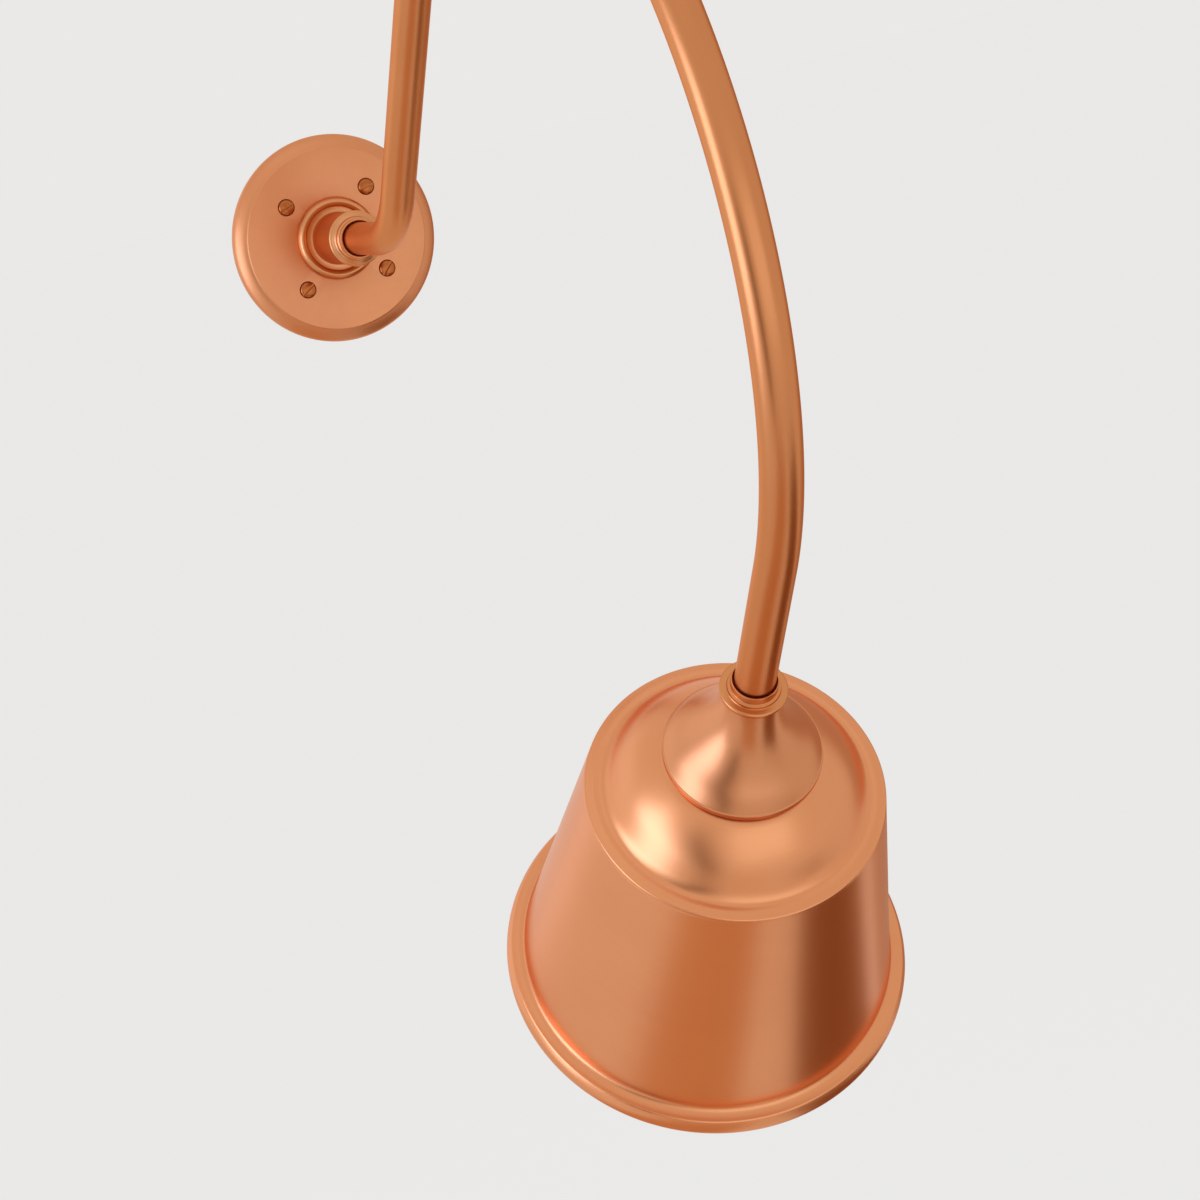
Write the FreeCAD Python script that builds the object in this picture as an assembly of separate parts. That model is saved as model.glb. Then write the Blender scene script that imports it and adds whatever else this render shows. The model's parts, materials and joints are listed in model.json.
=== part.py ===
import FreeCAD, Part
import math
import os

# Gooseneck wall sconce. Millimetres. The origin is the centre of the wall plate's back face.
# +Y goes into the wall, -Y into the room, +Z up. The arm lies in the plane x = 0.

# ---- driving dimensions ----
# wall plate
plate_radius = 62.0
plate_edge_height = 3.2
plate_face_radius = 54.6
plate_height = 9.7
plate_face_thickness = 2.6
plate_bead_drop = 0.9
gasket_outer_radius = 59.4
gasket_inner_radius = 51.6
gasket_thickness = 2.4
pillar_radius = 6.2
# plate screws
screw_count = 4
screw_circle_radius = 35.7
screw_first_angle = 45.0
screw_head_radius = 4.75
screw_head_rise = 1.9
screw_sink_depth = 2.4
screw_shank_radius = 2.2
screw_thread_radius = 2.4
screw_point_length = 6.0
screw_length_in_wall = 26.0
slot_width = 1.3
slot_depth = 1.25
slot_angles = (62.0, 20.0, -34.0, 8.0)
# earth point on the plate
earth_place = 36.0
earth_boss_radius = 4.2
earth_boss_back = 2.6
earth_screw_radius = 2.0
earth_tag_thickness = 0.88
# hub
hub_ring_radius = 24.6
hub_ring_height = 4.8
hub_ring_inner_radius = 19.6
hub_boss_radius = 15.6
hub_flange_radius = 16.4
hub_flange_distance = 58.2
hub_flange_thickness = 3.4
hub_step_radius = 12.6
hub_lip_radius = 11.7
hub_collar_rise = 8.0
hub_bore_start = 37.0
hub_back_bore_radius = 12.0
hub_spigot_radius = 14.0
hub_spigot_end = 1.2
gap_radius = 10.45
gap_depth = 2.4
grub_radius = 2.5
grub_length = 5.0
grub_distance = 49.0
grub_angles = (-28.0, 28.0)
washer_thickness = 1.0
washer_radius = 20.0
locknut_thickness = 4.0
locknut_across_flats = 36.0
friction_washer_thickness = 1.6
clip_thickness = 1.2
# arm
tube_radius = 9.525
tube_wall = 1.5
tube_start = 31.0
stub_reach = 146.0
first_bend_radius = 120.0
leg_lean = 52.3
leg_length = 290.4
crook_radius = 210.6
lamp_lean = 47.0
drop_length = 91.8
tube_depth_in_collar = 5.0
# shade collar
collar_lip_radius = 10.95
collar_step_radius = 12.3
collar_flange_radius = 15.75
collar_flange_thickness = 2.6
collar_rise = 6.2
collar_step_rise = 1.5
collar_web_start = 6.0
collar_web_end = 12.5
collar_spigot_radius = 11.4
collar_grub_radius = 1.5
collar_grub_length = 1.9
collar_grub_height = 2.6
collar_grub_angles = (150.0, 210.0)
# trumpet; the flare is a list of (radius, depth below the flange)
trumpet_top = 2.8
trumpet_lip_radius = 37.5
trumpet_lip_height = 3.4
trumpet_bottom = 54.5
trumpet_wall = 1.3
trumpet_flare = [(13.0, 2.8), (13.4, 8.0), (14.9, 15.0), (18.0, 23.5), (22.8, 32.0), (28.2, 39.5), (33.2, 45.6)]
# shade; each side of the dome is a list of (radius, depth below the shade's flat top)
shade_wall = 1.0
shade_plate_level = 56.2
shade_hole_radius = 20.6
shade_flat_radius = 31.5
dome_outside = [(35.4, 0.3), (41.0, 3.4), (48.0, 9.4), (54.4, 17.0), (58.9, 24.4), (61.4, 29.4)]
dome_inside = [(34.8, 1.2), (40.4, 4.3), (47.3, 10.1), (53.6, 17.6), (58.0, 24.9), (60.4, 29.8)]
groove_radius = 62.9
groove_level = 87.2
shoulder_radius = 67.6
shoulder_level = 85.7
ridge_radius = 71.6
ridge_level = 87.2
skirt_end_radius = 92.4
skirt_end_level = 232.6
rim_corner_radius = 99.2
rim_corner_level = 236.9
rim_radius = 101.6
rim_level = 247.0
# lamp holder
holder_cap_top = 24.0
holder_split = 35.0
holder_bottom = 76.0
holder_cap_radius = 16.4
holder_body_radius = 19.4
holder_collar_radius = 24.0
holder_collar_top = 50.0
shell_radius = 13.75
shell_wall = 0.45
shell_top = 46.0
shell_bottom = 73.0
holder_screw_place = 11.4
holder_screw_radius = 1.25
terminal_x = 8.5
shade_ring_flange_radius = 27.0
shade_ring_radius = 24.0
shade_ring_depth = 7.8
# nipple
nipple_radius = 4.95
nipple_bore_radius = 3.75
nipple_top = 7.0
nipple_bottom = 30.0
nipple_nut_across_flats = 14.5
nipple_nut_thickness = 3.6
# wiring
flex_radius = 3.1
flex_start = 24.0
flex_end = 29.0
core_radius = 1.1
core_spread = 1.6
core_angles = {"live": 90.0, "neutral": 210.0, "earth": 330.0}
splice_circle_radius = 6.4
splice_radius = 3.1
splice_low = 3.0
splice_high = 17.0
# bulb
bulb_cap_radius = 12.95
bulb_radius = 30.0
bulb_widest_level = 128.0
bulb_bottom = 158.0
bulb_wall = 0.8
bulb_cap_top = 49.0
bulb_cap_bottom = 74.5
bulb_cap_wall = 0.4
strip_circle_radius = 9.15
strip_length = 34.0
strip_width = 1.5

# ---- named clearances ----
running_gap = 0.075
fixed_gap = 0.05
body_gap = 0.35
seat_gap = 0.02

out_dir = "parts"


def vec(x, y, z):
    return FreeCAD.Vector(x, y, z)


origin = vec(0, 0, 0)
z_axis = vec(0, 0, 1)


# ---- shape helpers ----
def turned(profile):
    """Turns a closed outline round the Z axis. The outline is a list of (radius, height) corners. An
    entry of three or more corners in a list is a smooth curve that starts at the corner before it."""
    edges = []
    last = None
    first = None
    for item in profile:
        if isinstance(item, list):
            points = [vec(last[0], 0, last[1])] + [vec(r, 0, z) for r, z in item]
            curve = Part.BSplineCurve()
            curve.interpolate(points)
            edges.append(curve.toShape())
            last = item[-1]
        else:
            if last is not None and item != last:
                edges.append(Part.makeLine(vec(last[0], 0, last[1]), vec(item[0], 0, item[1])))
            last = item
        if first is None:
            first = last
    if last != first:
        edges.append(Part.makeLine(vec(last[0], 0, last[1]), vec(first[0], 0, first[1])))
    face = Part.Face(Part.Wire(edges))
    solid = face.revolve(origin, z_axis, 360)
    return one_solid(solid)


def one_solid(shape):
    if shape.ShapeType != "Solid":
        shape = shape.Solids[0]
    if shape.Volume < 0:
        shape.reverse()
    return shape


def ring(outer, inner, low, high):
    """A flat ring round Z between two heights."""
    return turned([(inner, low), (outer, low), (outer, high), (inner, high)])


def rod(radius, low, high):
    return Part.makeCylinder(radius, high - low, vec(0, 0, low), z_axis)


def moved(shape, x, y, z):
    copy = shape.copy()
    copy.translate(vec(x, y, z))
    return copy


def spun(shape, angle):
    copy = shape.copy()
    copy.rotate(origin, z_axis, angle)
    return copy


def hexagon(across_flats, low, high):
    corner = across_flats / 2.0 / math.cos(math.radians(30))
    points = []
    for i in range(7):
        a = math.radians(60 * i)
        points.append(vec(corner * math.cos(a), corner * math.sin(a), low))
    prism = Part.Face(Part.makePolygon(points)).extrude(vec(0, 0, high - low))
    chamfer = corner - across_flats / 2.0
    cutter = turned([(0, low), (across_flats / 2.0 * 1.01, low), (corner, low + chamfer * 0.6),
                     (corner, high - chamfer * 0.6), (across_flats / 2.0 * 1.01, high), (0, high)])
    return one_solid(prism.common(cutter))


def wall_side(shape):
    """From a frame whose Z is the distance from the wall to the part's own frame."""
    copy = shape.copy()
    copy.rotate(origin, vec(1, 0, 0), 90)
    return copy


# ---- the arm's path ----
def heading(theta):
    """Direction in the plane x = 0; 0 is straight out of the wall, 90 is straight up."""
    t = math.radians(theta)
    return vec(0, -math.cos(t), math.sin(t))


def side(theta):
    t = math.radians(theta)
    return vec(0, math.sin(t), math.cos(t))


clip_high = hub_bore_start - friction_washer_thickness - 0.1
leg_rise = 90.0 - leg_lean
bend_tangent = first_bend_radius * math.tan(math.radians(leg_rise / 2.0))
crook_turn = leg_rise + 180.0 - (90.0 - lamp_lean)


def arm_legs(start, end_past_flange):
    """The path as straight runs and bends, from a distance off the wall to a depth below the flange."""
    return [
        ("run", stub_reach - bend_tangent - start),
        ("bend", first_bend_radius, leg_rise),
        ("run", leg_length - bend_tangent),
        ("bend", crook_radius, -crook_turn),
        ("run", drop_length + end_past_flange),
    ]


def follow(legs, start, face_maker):
    """Sweeps a flat section along the path and joins the pieces into one solid."""
    pos = vec(0, -start, 0)
    theta = 0.0
    pieces = []
    for leg in legs:
        face = face_maker(pos, heading(theta))
        if leg[0] == "run":
            step = heading(theta) * leg[1]
            pieces.append(face.extrude(step))
            pos = pos + step
        else:
            radius, turn = leg[1], leg[2]
            sign = 1.0 if turn > 0 else -1.0
            centre = pos + side(theta) * (radius * sign)
            pieces.append(face.revolve(centre, vec(-sign, 0, 0), abs(turn)))
            theta = theta + turn
            pos = centre - side(theta) * (radius * sign)
    solid = one_solid(pieces[0])
    for piece in pieces[1:]:
        solid = solid.fuse(one_solid(piece))
    return one_solid(solid.removeSplitter())


def tube_section(outer, inner):
    def make(pos, direction):
        big = Part.Wire(Part.makeCircle(outer, pos, direction))
        if inner <= 0:
            return Part.Face(big)
        small = Part.Wire(Part.makeCircle(inner, pos, direction))
        return Part.Face(big).cut(Part.Face(small)).Faces[0]
    return make


def path_end(past_flange):
    pos = vec(0, -tube_start, 0)
    theta = 0.0
    for leg in arm_legs(tube_start, past_flange):
        if leg[0] == "run":
            pos = pos + heading(theta) * leg[1]
        else:
            sign = 1.0 if leg[2] > 0 else -1.0
            centre = pos + side(theta) * (leg[1] * sign)
            theta = theta + leg[2]
            pos = centre - side(theta) * (leg[1] * sign)
    return pos


flange_centre = path_end(0.0)


def lamp_side(shape):
    """From the lamp's own frame (Z up along the tube, 0 at the collar's flange) to the part's frame."""
    copy = shape.copy()
    copy.rotate(origin, vec(1, 0, 0), lamp_lean)
    copy.translate(flange_centre)
    return copy


def below(points):
    """Turns (radius, depth below the flange) corners into (radius, height) corners."""
    flipped = []
    for item in points:
        if isinstance(item, list):
            flipped.append([(r, -d) for r, d in item])
        else:
            flipped.append((item[0], -item[1]))
    return flipped


# ---- pieces held to the wall ----
def screw_places():
    places = []
    for i in range(screw_count):
        a = math.radians(screw_first_angle + 360.0 / screw_count * i)
        places.append((screw_circle_radius * math.cos(a), screw_circle_radius * math.sin(a)))
    return places


screw_hole_radius = screw_thread_radius + fixed_gap


def make_backplate():
    face_under = plate_height - plate_face_thickness
    seat = gasket_thickness + fixed_gap
    hole = hub_spigot_radius + fixed_gap
    plate = turned([
        (hole, plate_height), (plate_face_radius - 0.9, plate_height),
        [(plate_face_radius - 0.3, plate_height - 0.2), (plate_face_radius, plate_height - plate_bead_drop)],
        (plate_face_radius + 0.5, plate_height - plate_bead_drop - 0.2),
        [(plate_face_radius + 3.4, plate_height - 2.0), (plate_radius - 2.2, plate_edge_height + 1.6),
         (plate_radius - 0.6, plate_edge_height + 0.75), (plate_radius, plate_edge_height)],
        (plate_radius, 0), (gasket_outer_radius + fixed_gap, 0), (gasket_outer_radius + fixed_gap, seat),
        (gasket_inner_radius - fixed_gap, seat), (gasket_inner_radius - fixed_gap, 0.6),
        (gasket_inner_radius - 1.9, 0.6), (gasket_inner_radius - 4.1, face_under), (hole, face_under),
    ])
    for x, y in screw_places():
        plate = plate.fuse(moved(rod(pillar_radius, 0.6, plate_height - 0.5), x, y, 0))
    earth_boss = moved(rod(earth_boss_radius, earth_boss_back, plate_height - 0.5), 0, -earth_place, 0)
    plate = plate.fuse(earth_boss)
    for x, y in screw_places():
        plate = plate.cut(moved(rod(screw_hole_radius, -1, plate_height + 1), x, y, 0))
        sink = turned([(0, plate_height - screw_sink_depth),
                       (screw_hole_radius, plate_height - screw_sink_depth),
                       (screw_head_radius + fixed_gap, plate_height),
                       (screw_head_radius + fixed_gap, plate_height + 1), (0, plate_height + 1)])
        plate = plate.cut(moved(sink, x, y, 0))
    plate = plate.cut(moved(rod(earth_screw_radius + fixed_gap, 0, 7.4), 0, -earth_place, 0))
    return wall_side(one_solid(plate.removeSplitter()))


def make_wall_gasket():
    return wall_side(ring(gasket_outer_radius, gasket_inner_radius, 0.0, gasket_thickness))


def make_plate_screw(slot_angle):
    top = plate_height + screw_head_rise
    screw = turned([
        (0, -screw_length_in_wall), (0.5, -screw_length_in_wall),
        (screw_thread_radius, screw_point_length - screw_length_in_wall),
        (screw_thread_radius, 0), (screw_shank_radius, 0),
        (screw_shank_radius, plate_height - screw_sink_depth + seat_gap),
        (screw_head_radius, plate_height + seat_gap),
        [(screw_head_radius * 0.93, plate_height + screw_head_rise * 0.45),
         (screw_head_radius * 0.6, plate_height + screw_head_rise * 0.86), (0, top)],
    ])
    slot = Part.makeBox(3 * screw_head_radius, slot_width, slot_depth + 1,
                        vec(-1.5 * screw_head_radius, -slot_width / 2.0, top - slot_depth))
    return one_solid(screw.cut(spun(slot, slot_angle)))


def make_plate_screws():
    solids = []
    for (x, y), angle in zip(screw_places(), slot_angles):
        solids.append(moved(make_plate_screw(angle), x, y, 0))
    return wall_side(Part.makeCompound(solids))


def make_hub():
    base = plate_height
    front = hub_flange_distance
    lip = front + hub_collar_rise
    bore = tube_radius + running_gap
    hub = turned([
        (hub_back_bore_radius, hub_spigot_end), (hub_spigot_radius, hub_spigot_end), (hub_spigot_radius, base),
        (hub_ring_radius - 0.7, base),
        [(hub_ring_radius, base + 1.2), (hub_ring_radius - 0.9, base + 3.4),
         (hub_ring_radius - 2.6, base + hub_ring_height),
         (hub_ring_inner_radius + 0.6, base + hub_ring_height - 0.7),
         (hub_ring_inner_radius - 0.6, base + hub_ring_height - 2.4)],
        (hub_boss_radius + 1.4, base + hub_ring_height - 2.6),
        [(hub_boss_radius + 0.4, base + hub_ring_height - 2.0),
         (hub_boss_radius, base + hub_ring_height - 0.4)],
        (hub_boss_radius, front - hub_flange_thickness - 0.8),
        (hub_flange_radius - 0.4, front - hub_flange_thickness),
        [(hub_flange_radius, front - hub_flange_thickness * 0.55), (hub_flange_radius - 0.35, front - 0.5),
         (hub_flange_radius - 1.5, front)],
        (hub_step_radius + 1.6, front + 0.5),
        [(hub_step_radius + 0.5, front + 1.2), (hub_step_radius, front + 3.0)],
        (hub_step_radius, lip - 4.0), (hub_lip_radius + 0.3, lip - 3.6),
        (hub_lip_radius, lip - 3.2), (hub_lip_radius, lip - 0.7),
        [(hub_lip_radius - 0.2, lip - 0.2), (hub_lip_radius - 0.6, lip)],
        (gap_radius, lip), (gap_radius, lip - gap_depth), (bore, lip - gap_depth - 0.4),
        (bore, hub_bore_start), (hub_back_bore_radius, hub_bore_start),
    ])
    for angle in grub_angles:
        hole = Part.makeCylinder(grub_radius + fixed_gap, 20, vec(0, 0, grub_distance), vec(0, -1, 0))
        hub = hub.cut(spun(hole, angle))
    return wall_side(one_solid(hub))


def make_grub(radius, tip, length):
    """A grub screw pointing at the Z axis from -Y, with a hexagon socket in its outer end."""
    body = turned([(0, 0), (radius * 0.6, 0), (radius, 0.8), (radius, length - 0.5), (radius - 0.4, length),
                   (0, length)])
    socket = hexagon(radius, length - 2.0, length + 1.0)
    body = one_solid(body.cut(socket))
    body.rotate(origin, vec(1, 0, 0), 90)
    body.translate(vec(0, -tip, 0))
    return body


def make_arm_grub_screws():
    solids = []
    for angle in grub_angles:
        grub = moved(make_grub(grub_radius, tube_radius + body_gap, grub_length), 0, 0, grub_distance)
        solids.append(spun(grub, angle))
    return wall_side(Part.makeCompound(solids))


def make_hub_washer():
    top = plate_height - plate_face_thickness - seat_gap
    washer = ring(washer_radius, hub_spigot_radius + fixed_gap, top - washer_thickness, top)
    for i in range(12):
        tooth = Part.makeBox(2.4, 1.6, washer_thickness + 2,
                             vec(washer_radius - 1.4, -0.8, top - washer_thickness - 1))
        washer = washer.cut(spun(tooth, 30.0 * i))
    return wall_side(one_solid(washer))


def make_hub_locknut():
    top = plate_height - plate_face_thickness - 2 * seat_gap - washer_thickness
    nut = hexagon(locknut_across_flats, top - locknut_thickness, top)
    nut = nut.cut(rod(hub_spigot_radius + fixed_gap, -5, plate_height))
    return wall_side(one_solid(nut))


def make_earth_tag():
    high = earth_boss_back - seat_gap
    low = high - earth_tag_thickness
    tag = ring(4.0, earth_screw_radius + 0.1, low, high)
    tongue = Part.makeBox(3.0, 4.5, earth_tag_thickness, vec(-1.5, 3.0, low))
    barrel = Part.makeCylinder(1.7, 4.5, vec(0, 7.0, low + 1.2), vec(0, 1, 0))
    tag = tag.fuse(tongue).fuse(barrel)
    return wall_side(moved(one_solid(tag.removeSplitter()), 0, -earth_place, 0))


def make_earth_screw():
    seat = earth_boss_back - earth_tag_thickness - 2 * seat_gap
    screw = turned([(0, 0.1), (2.6, 0.1), (3.6, 0.7), (3.6, seat), (earth_screw_radius, seat),
                    (earth_screw_radius, 7.0), (0, 7.2)])
    slot = Part.makeBox(9, 0.9, 0.8, vec(-4.5, -0.45, 0.0))
    screw = one_solid(screw.cut(spun(slot, 35)))
    return wall_side(moved(screw, 0, -earth_place, 0))


def make_friction_washer():
    high = hub_bore_start - seat_gap
    low = high - friction_washer_thickness
    return wall_side(ring(hub_back_bore_radius - fixed_gap, tube_radius + 0.3, low, high))


# ---- pieces that turn with the arm ----
def make_arm_tube():
    tube = follow(arm_legs(tube_start, tube_depth_in_collar), tube_start,
                  tube_section(tube_radius, tube_radius - tube_wall))
    groove = ring(tube_radius + 2, tube_radius - 0.6, clip_high - clip_thickness - 0.04, clip_high + 0.04)
    tube = tube.cut(wall_side(groove))
    return one_solid(tube)


def make_retaining_clip():
    clip = ring(tube_radius + 1.7, tube_radius - 0.55, clip_high - clip_thickness, clip_high)
    mouth = Part.makeBox(9, 30, clip_thickness + 2, vec(-4.5, 0, clip_high - clip_thickness - 1))
    return wall_side(one_solid(clip.cut(mouth)))


def make_tube_grommets():
    inner = tube_radius - tube_wall
    wall_end = turned([(flex_radius + fixed_gap, tube_start - 2.0), (tube_radius - 0.3, tube_start - 2.0),
                       (tube_radius - 0.3, tube_start - fixed_gap), (inner - fixed_gap, tube_start - fixed_gap),
                       (inner - fixed_gap, tube_start + 9.0), (flex_radius + fixed_gap, tube_start + 9.0)])
    lamp_end = ring(inner - fixed_gap, flex_radius + fixed_gap, -tube_depth_in_collar + 0.2, 6.0)
    return Part.makeCompound([wall_side(wall_end), lamp_side(lamp_end)])


def make_inner_flex():
    return follow(arm_legs(flex_start, flex_end), flex_start, tube_section(flex_radius, 0))


def thick_line(points, radius):
    """A round wire along straight runs with ball corners."""
    solid = None
    for a, b in zip(points[:-1], points[1:]):
        run = Part.makeCylinder(radius, (b - a).Length, a, b - a)
        if solid is None:
            solid = run
        else:
            solid = solid.fuse(Part.makeSphere(radius, a)).fuse(run)
    return one_solid(solid)


def polar(radius, angle, height):
    a = math.radians(angle)
    return vec(radius * math.cos(a), radius * math.sin(a), height)


def make_tails(name):
    angle = core_angles[name]
    at_wall = thick_line([polar(core_spread, angle, flex_start - fixed_gap),
                          polar(core_spread, angle, flex_start - 2.0),
                          polar(splice_circle_radius, angle, splice_high + 1.0),
                          polar(splice_circle_radius, angle, splice_high - 6.0)], core_radius)
    if name == "earth":
        return wall_side(at_wall)
    x = terminal_x if name == "live" else -terminal_x
    deep = -flex_end
    start_x = core_spread if name == "live" else -core_spread
    at_lamp = thick_line([vec(start_x, 0, deep - fixed_gap), vec(start_x, 0, deep - 2.3), vec(x, 0, deep - 4.3),
                          vec(x, 0, -holder_split - 1.0)], core_radius)
    return Part.makeCompound([wall_side(at_wall), lamp_side(at_lamp)])


def make_splice_caps():
    solids = []
    for angle in core_angles.values():
        cap = turned([(core_radius + fixed_gap, splice_high), (splice_radius * 0.7, splice_high),
                      (splice_radius, splice_high - 2.0), (splice_radius, splice_low + 1.2),
                      (splice_radius - 0.8, splice_low), (0, splice_low), (0, splice_high - 6.2),
                      (core_radius + fixed_gap, splice_high - 6.2)])
        place = polar(splice_circle_radius, angle, 0)
        solids.append(moved(cap, place.x, place.y, 0))
    return wall_side(Part.makeCompound(solids))


def make_shade_collar():
    bore = tube_radius + fixed_gap
    lip = collar_rise
    collar = turned([
        (bore, -collar_web_start), (bore, lip - gap_depth - 0.4), (gap_radius, lip - gap_depth),
        (gap_radius - 0.1, lip - 0.3), (gap_radius, lip),
        [(collar_lip_radius - 0.12, lip - 0.15), (collar_lip_radius, lip - 0.6)],
        (collar_lip_radius, collar_step_rise + 0.4), (collar_step_radius - 0.5, collar_step_rise + 0.2),
        [(collar_step_radius - 0.1, collar_step_rise), (collar_step_radius, collar_step_rise - 0.5)],
        (collar_step_radius, 0.35),
        [(collar_step_radius + 0.25, 0.05), (collar_step_radius + 0.6, 0)],
        (collar_flange_radius - 0.9, 0),
        [(collar_flange_radius - 0.2, -0.35), (collar_flange_radius, -collar_flange_thickness * 0.5),
         (collar_flange_radius - 0.3, -collar_flange_thickness + 0.2)],
        (collar_flange_radius - 0.8, -collar_flange_thickness),
        (collar_spigot_radius, -collar_flange_thickness), (collar_spigot_radius, -collar_web_end),
        (nipple_radius + fixed_gap, -collar_web_end), (nipple_radius + fixed_gap, -collar_web_start),
    ])
    for angle in collar_grub_angles:
        start = vec(0, 0, collar_grub_height)
        hole = Part.makeCylinder(collar_grub_radius + fixed_gap, 20, start, vec(0, -1, 0))
        collar = collar.cut(spun(hole, angle))
    return lamp_side(one_solid(collar))


def make_collar_grub_screws():
    solids = []
    for angle in collar_grub_angles:
        grub = make_grub(collar_grub_radius, tube_radius + seat_gap, collar_grub_length)
        grub = moved(grub, 0, 0, collar_grub_height)
        solids.append(spun(grub, angle))
    return lamp_side(Part.makeCompound(solids))


def make_nipple():
    return lamp_side(turned(below([
        (nipple_bore_radius, nipple_bottom), (nipple_radius - 0.5, nipple_bottom),
        (nipple_radius, nipple_bottom - 0.6), (nipple_radius, nipple_top + 0.6),
        (nipple_radius - 0.5, nipple_top), (nipple_bore_radius, nipple_top)])))


def make_nipple_locknut():
    nut = hexagon(nipple_nut_across_flats, -collar_web_end - nipple_nut_thickness, -collar_web_end - fixed_gap)
    return lamp_side(one_solid(nut.cut(rod(nipple_radius + fixed_gap, -40, 0))))


def trumpet_outline(inset):
    """The trumpet's flare from its neck down to its lip, moved in by a distance along the radius."""
    corner = (trumpet_lip_radius - 0.7, trumpet_bottom - trumpet_lip_height)
    return [(r - inset, d) for r, d in trumpet_flare + [corner]]


def make_shade_holder():
    outer = trumpet_outline(0.0)
    inner = trumpet_outline(trumpet_wall * 1.15)
    inner = inner[1:-1]
    neck_bore = collar_spigot_radius + fixed_gap
    corner = trumpet_bottom - trumpet_lip_height
    profile = [outer[0], outer[1:], (trumpet_lip_radius - 0.25, corner + 0.25)]
    profile += [(trumpet_lip_radius, corner + 0.8), (trumpet_lip_radius, trumpet_bottom - 0.5)]
    profile += [(trumpet_lip_radius - 0.5, trumpet_bottom), (trumpet_lip_radius - trumpet_wall, trumpet_bottom)]
    profile += [(trumpet_lip_radius - trumpet_wall, corner + 1.0)]
    profile += [(inner[-1][0] + 1.2, inner[-1][1] + 2.0)]
    profile += [inner[::-1][:-1] + [(neck_bore + 0.4, collar_web_end + 1.6)]]
    profile += [(neck_bore, collar_web_end + 1.0), (neck_bore, trumpet_top)]
    return lamp_side(turned(below(profile)))


def shade_outer():
    """The shade's outside from under the holder to the rim, as (radius, depth) corners."""
    top = shade_plate_level
    return [
        (shade_hole_radius, top), (shade_flat_radius, top),
        [(r, top + d) for r, d in dome_outside] +
        [(groove_radius, groove_level), (groove_radius + 1.5, groove_level - 0.3),
         (shoulder_radius - 1.4, shoulder_level + 0.2), (shoulder_radius, shoulder_level),
         (ridge_radius - 1.3, ridge_level - 0.8), (ridge_radius, ridge_level)],
        (ridge_radius - 0.1, ridge_level + 0.7),
    ]


def make_shade():
    w = shade_wall
    slope = (skirt_end_radius - ridge_radius) / (skirt_end_level - ridge_level)
    top = shade_plate_level
    outer = shade_outer()
    outer += [
        (skirt_end_radius, skirt_end_level),
        [(skirt_end_radius + 0.9, skirt_end_level + 2.3), (skirt_end_radius + 3.2, rim_corner_level - 0.55),
         (rim_corner_radius, rim_corner_level)],
        (rim_corner_radius + 0.5, rim_corner_level + 0.5),
        [(rim_radius - 0.6, rim_corner_level + 3.0), (rim_radius, rim_corner_level + 6.0),
         (rim_radius - 0.6, rim_level - 1.1), (rim_radius - 2.4, rim_level)],
        (rim_radius - 4.4, rim_level - 1.2), (rim_radius - 4.0, rim_level - 2.0),
        (rim_radius - 2.4, rim_level - 1.2),
        [(rim_radius - 1.6, rim_level - 2.2), (rim_radius - w - 0.1, rim_corner_level + 6.0),
         (rim_radius - w - 0.8, rim_corner_level + 3.0), (rim_corner_radius - 0.4, rim_corner_level + 1.2)],
        (rim_corner_radius - 0.6, rim_corner_level + 1.05),
        [(skirt_end_radius + 2.9, rim_corner_level + 0.4), (skirt_end_radius, skirt_end_level + 2.8),
         (skirt_end_radius - w, skirt_end_level)],
        (ridge_radius - w - 0.1 - slope, ridge_level + w),
        [(ridge_radius - 1.8, ridge_level + 0.1), (shoulder_radius, shoulder_level + w),
         (shoulder_radius - 1.2, shoulder_level + w + 0.15), (groove_radius + 1.8, groove_level + w - 0.4),
         (groove_radius, groove_level + w), (groove_radius - 1.4, groove_level + 0.4)] +
        [(r, top + d) for r, d in reversed(dome_inside)] + [(shade_flat_radius - 0.5, top + w)],
        (shade_hole_radius, top + w),
    ]
    return lamp_side(turned(below(outer)))


def make_shade_ring():
    low = shade_plate_level + shade_wall + fixed_gap
    high = low + shade_ring_depth
    body = turned(below([
        (holder_body_radius + fixed_gap, low), (shade_ring_flange_radius, low),
        (shade_ring_flange_radius, low + 2.2), (shade_ring_radius, low + 3.0), (shade_ring_radius, high - 0.8),
        (shade_ring_radius - 0.8, high), (holder_body_radius + fixed_gap, high)]))
    for i in range(8):
        notch = Part.makeCylinder(1.6, 3.2, vec(shade_ring_radius + 0.8, 0, -high - 0.2), z_axis)
        body = body.cut(spun(notch, 45.0 * i))
    return lamp_side(one_solid(body))


def make_holder_cap():
    cap = turned(below([
        (nipple_radius + fixed_gap, holder_cap_top), (7.6, holder_cap_top),
        [(10.4, holder_cap_top + 0.6), (13.6, holder_cap_top + 3.2), (holder_cap_radius, holder_cap_top + 7.4)],
        (holder_cap_radius, holder_split - seat_gap), (14.0, holder_split - seat_gap),
        (14.0, holder_split - 4.5),
        (10.5, nipple_bottom + 0.2), (nipple_radius + fixed_gap, nipple_bottom + 0.2)]))
    for angle in (0.0, 180.0):
        boss = moved(rod(3.0, -holder_split + seat_gap, -holder_split + 8.0), 0, holder_screw_place, 0)
        cap = cap.fuse(spun(boss, angle))
    for angle in (0.0, 180.0):
        hole = rod(holder_screw_radius + fixed_gap, -holder_split - 2, -holder_cap_top + 4)
        head = rod(2.45, -holder_split + 6.6, -holder_cap_top + 4)
        hole = moved(hole, 0, holder_screw_place, 0)
        head = moved(head, 0, holder_screw_place, 0)
        cap = cap.cut(spun(hole, angle)).cut(spun(head, angle))
    return lamp_side(one_solid(cap.removeSplitter()))


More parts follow.
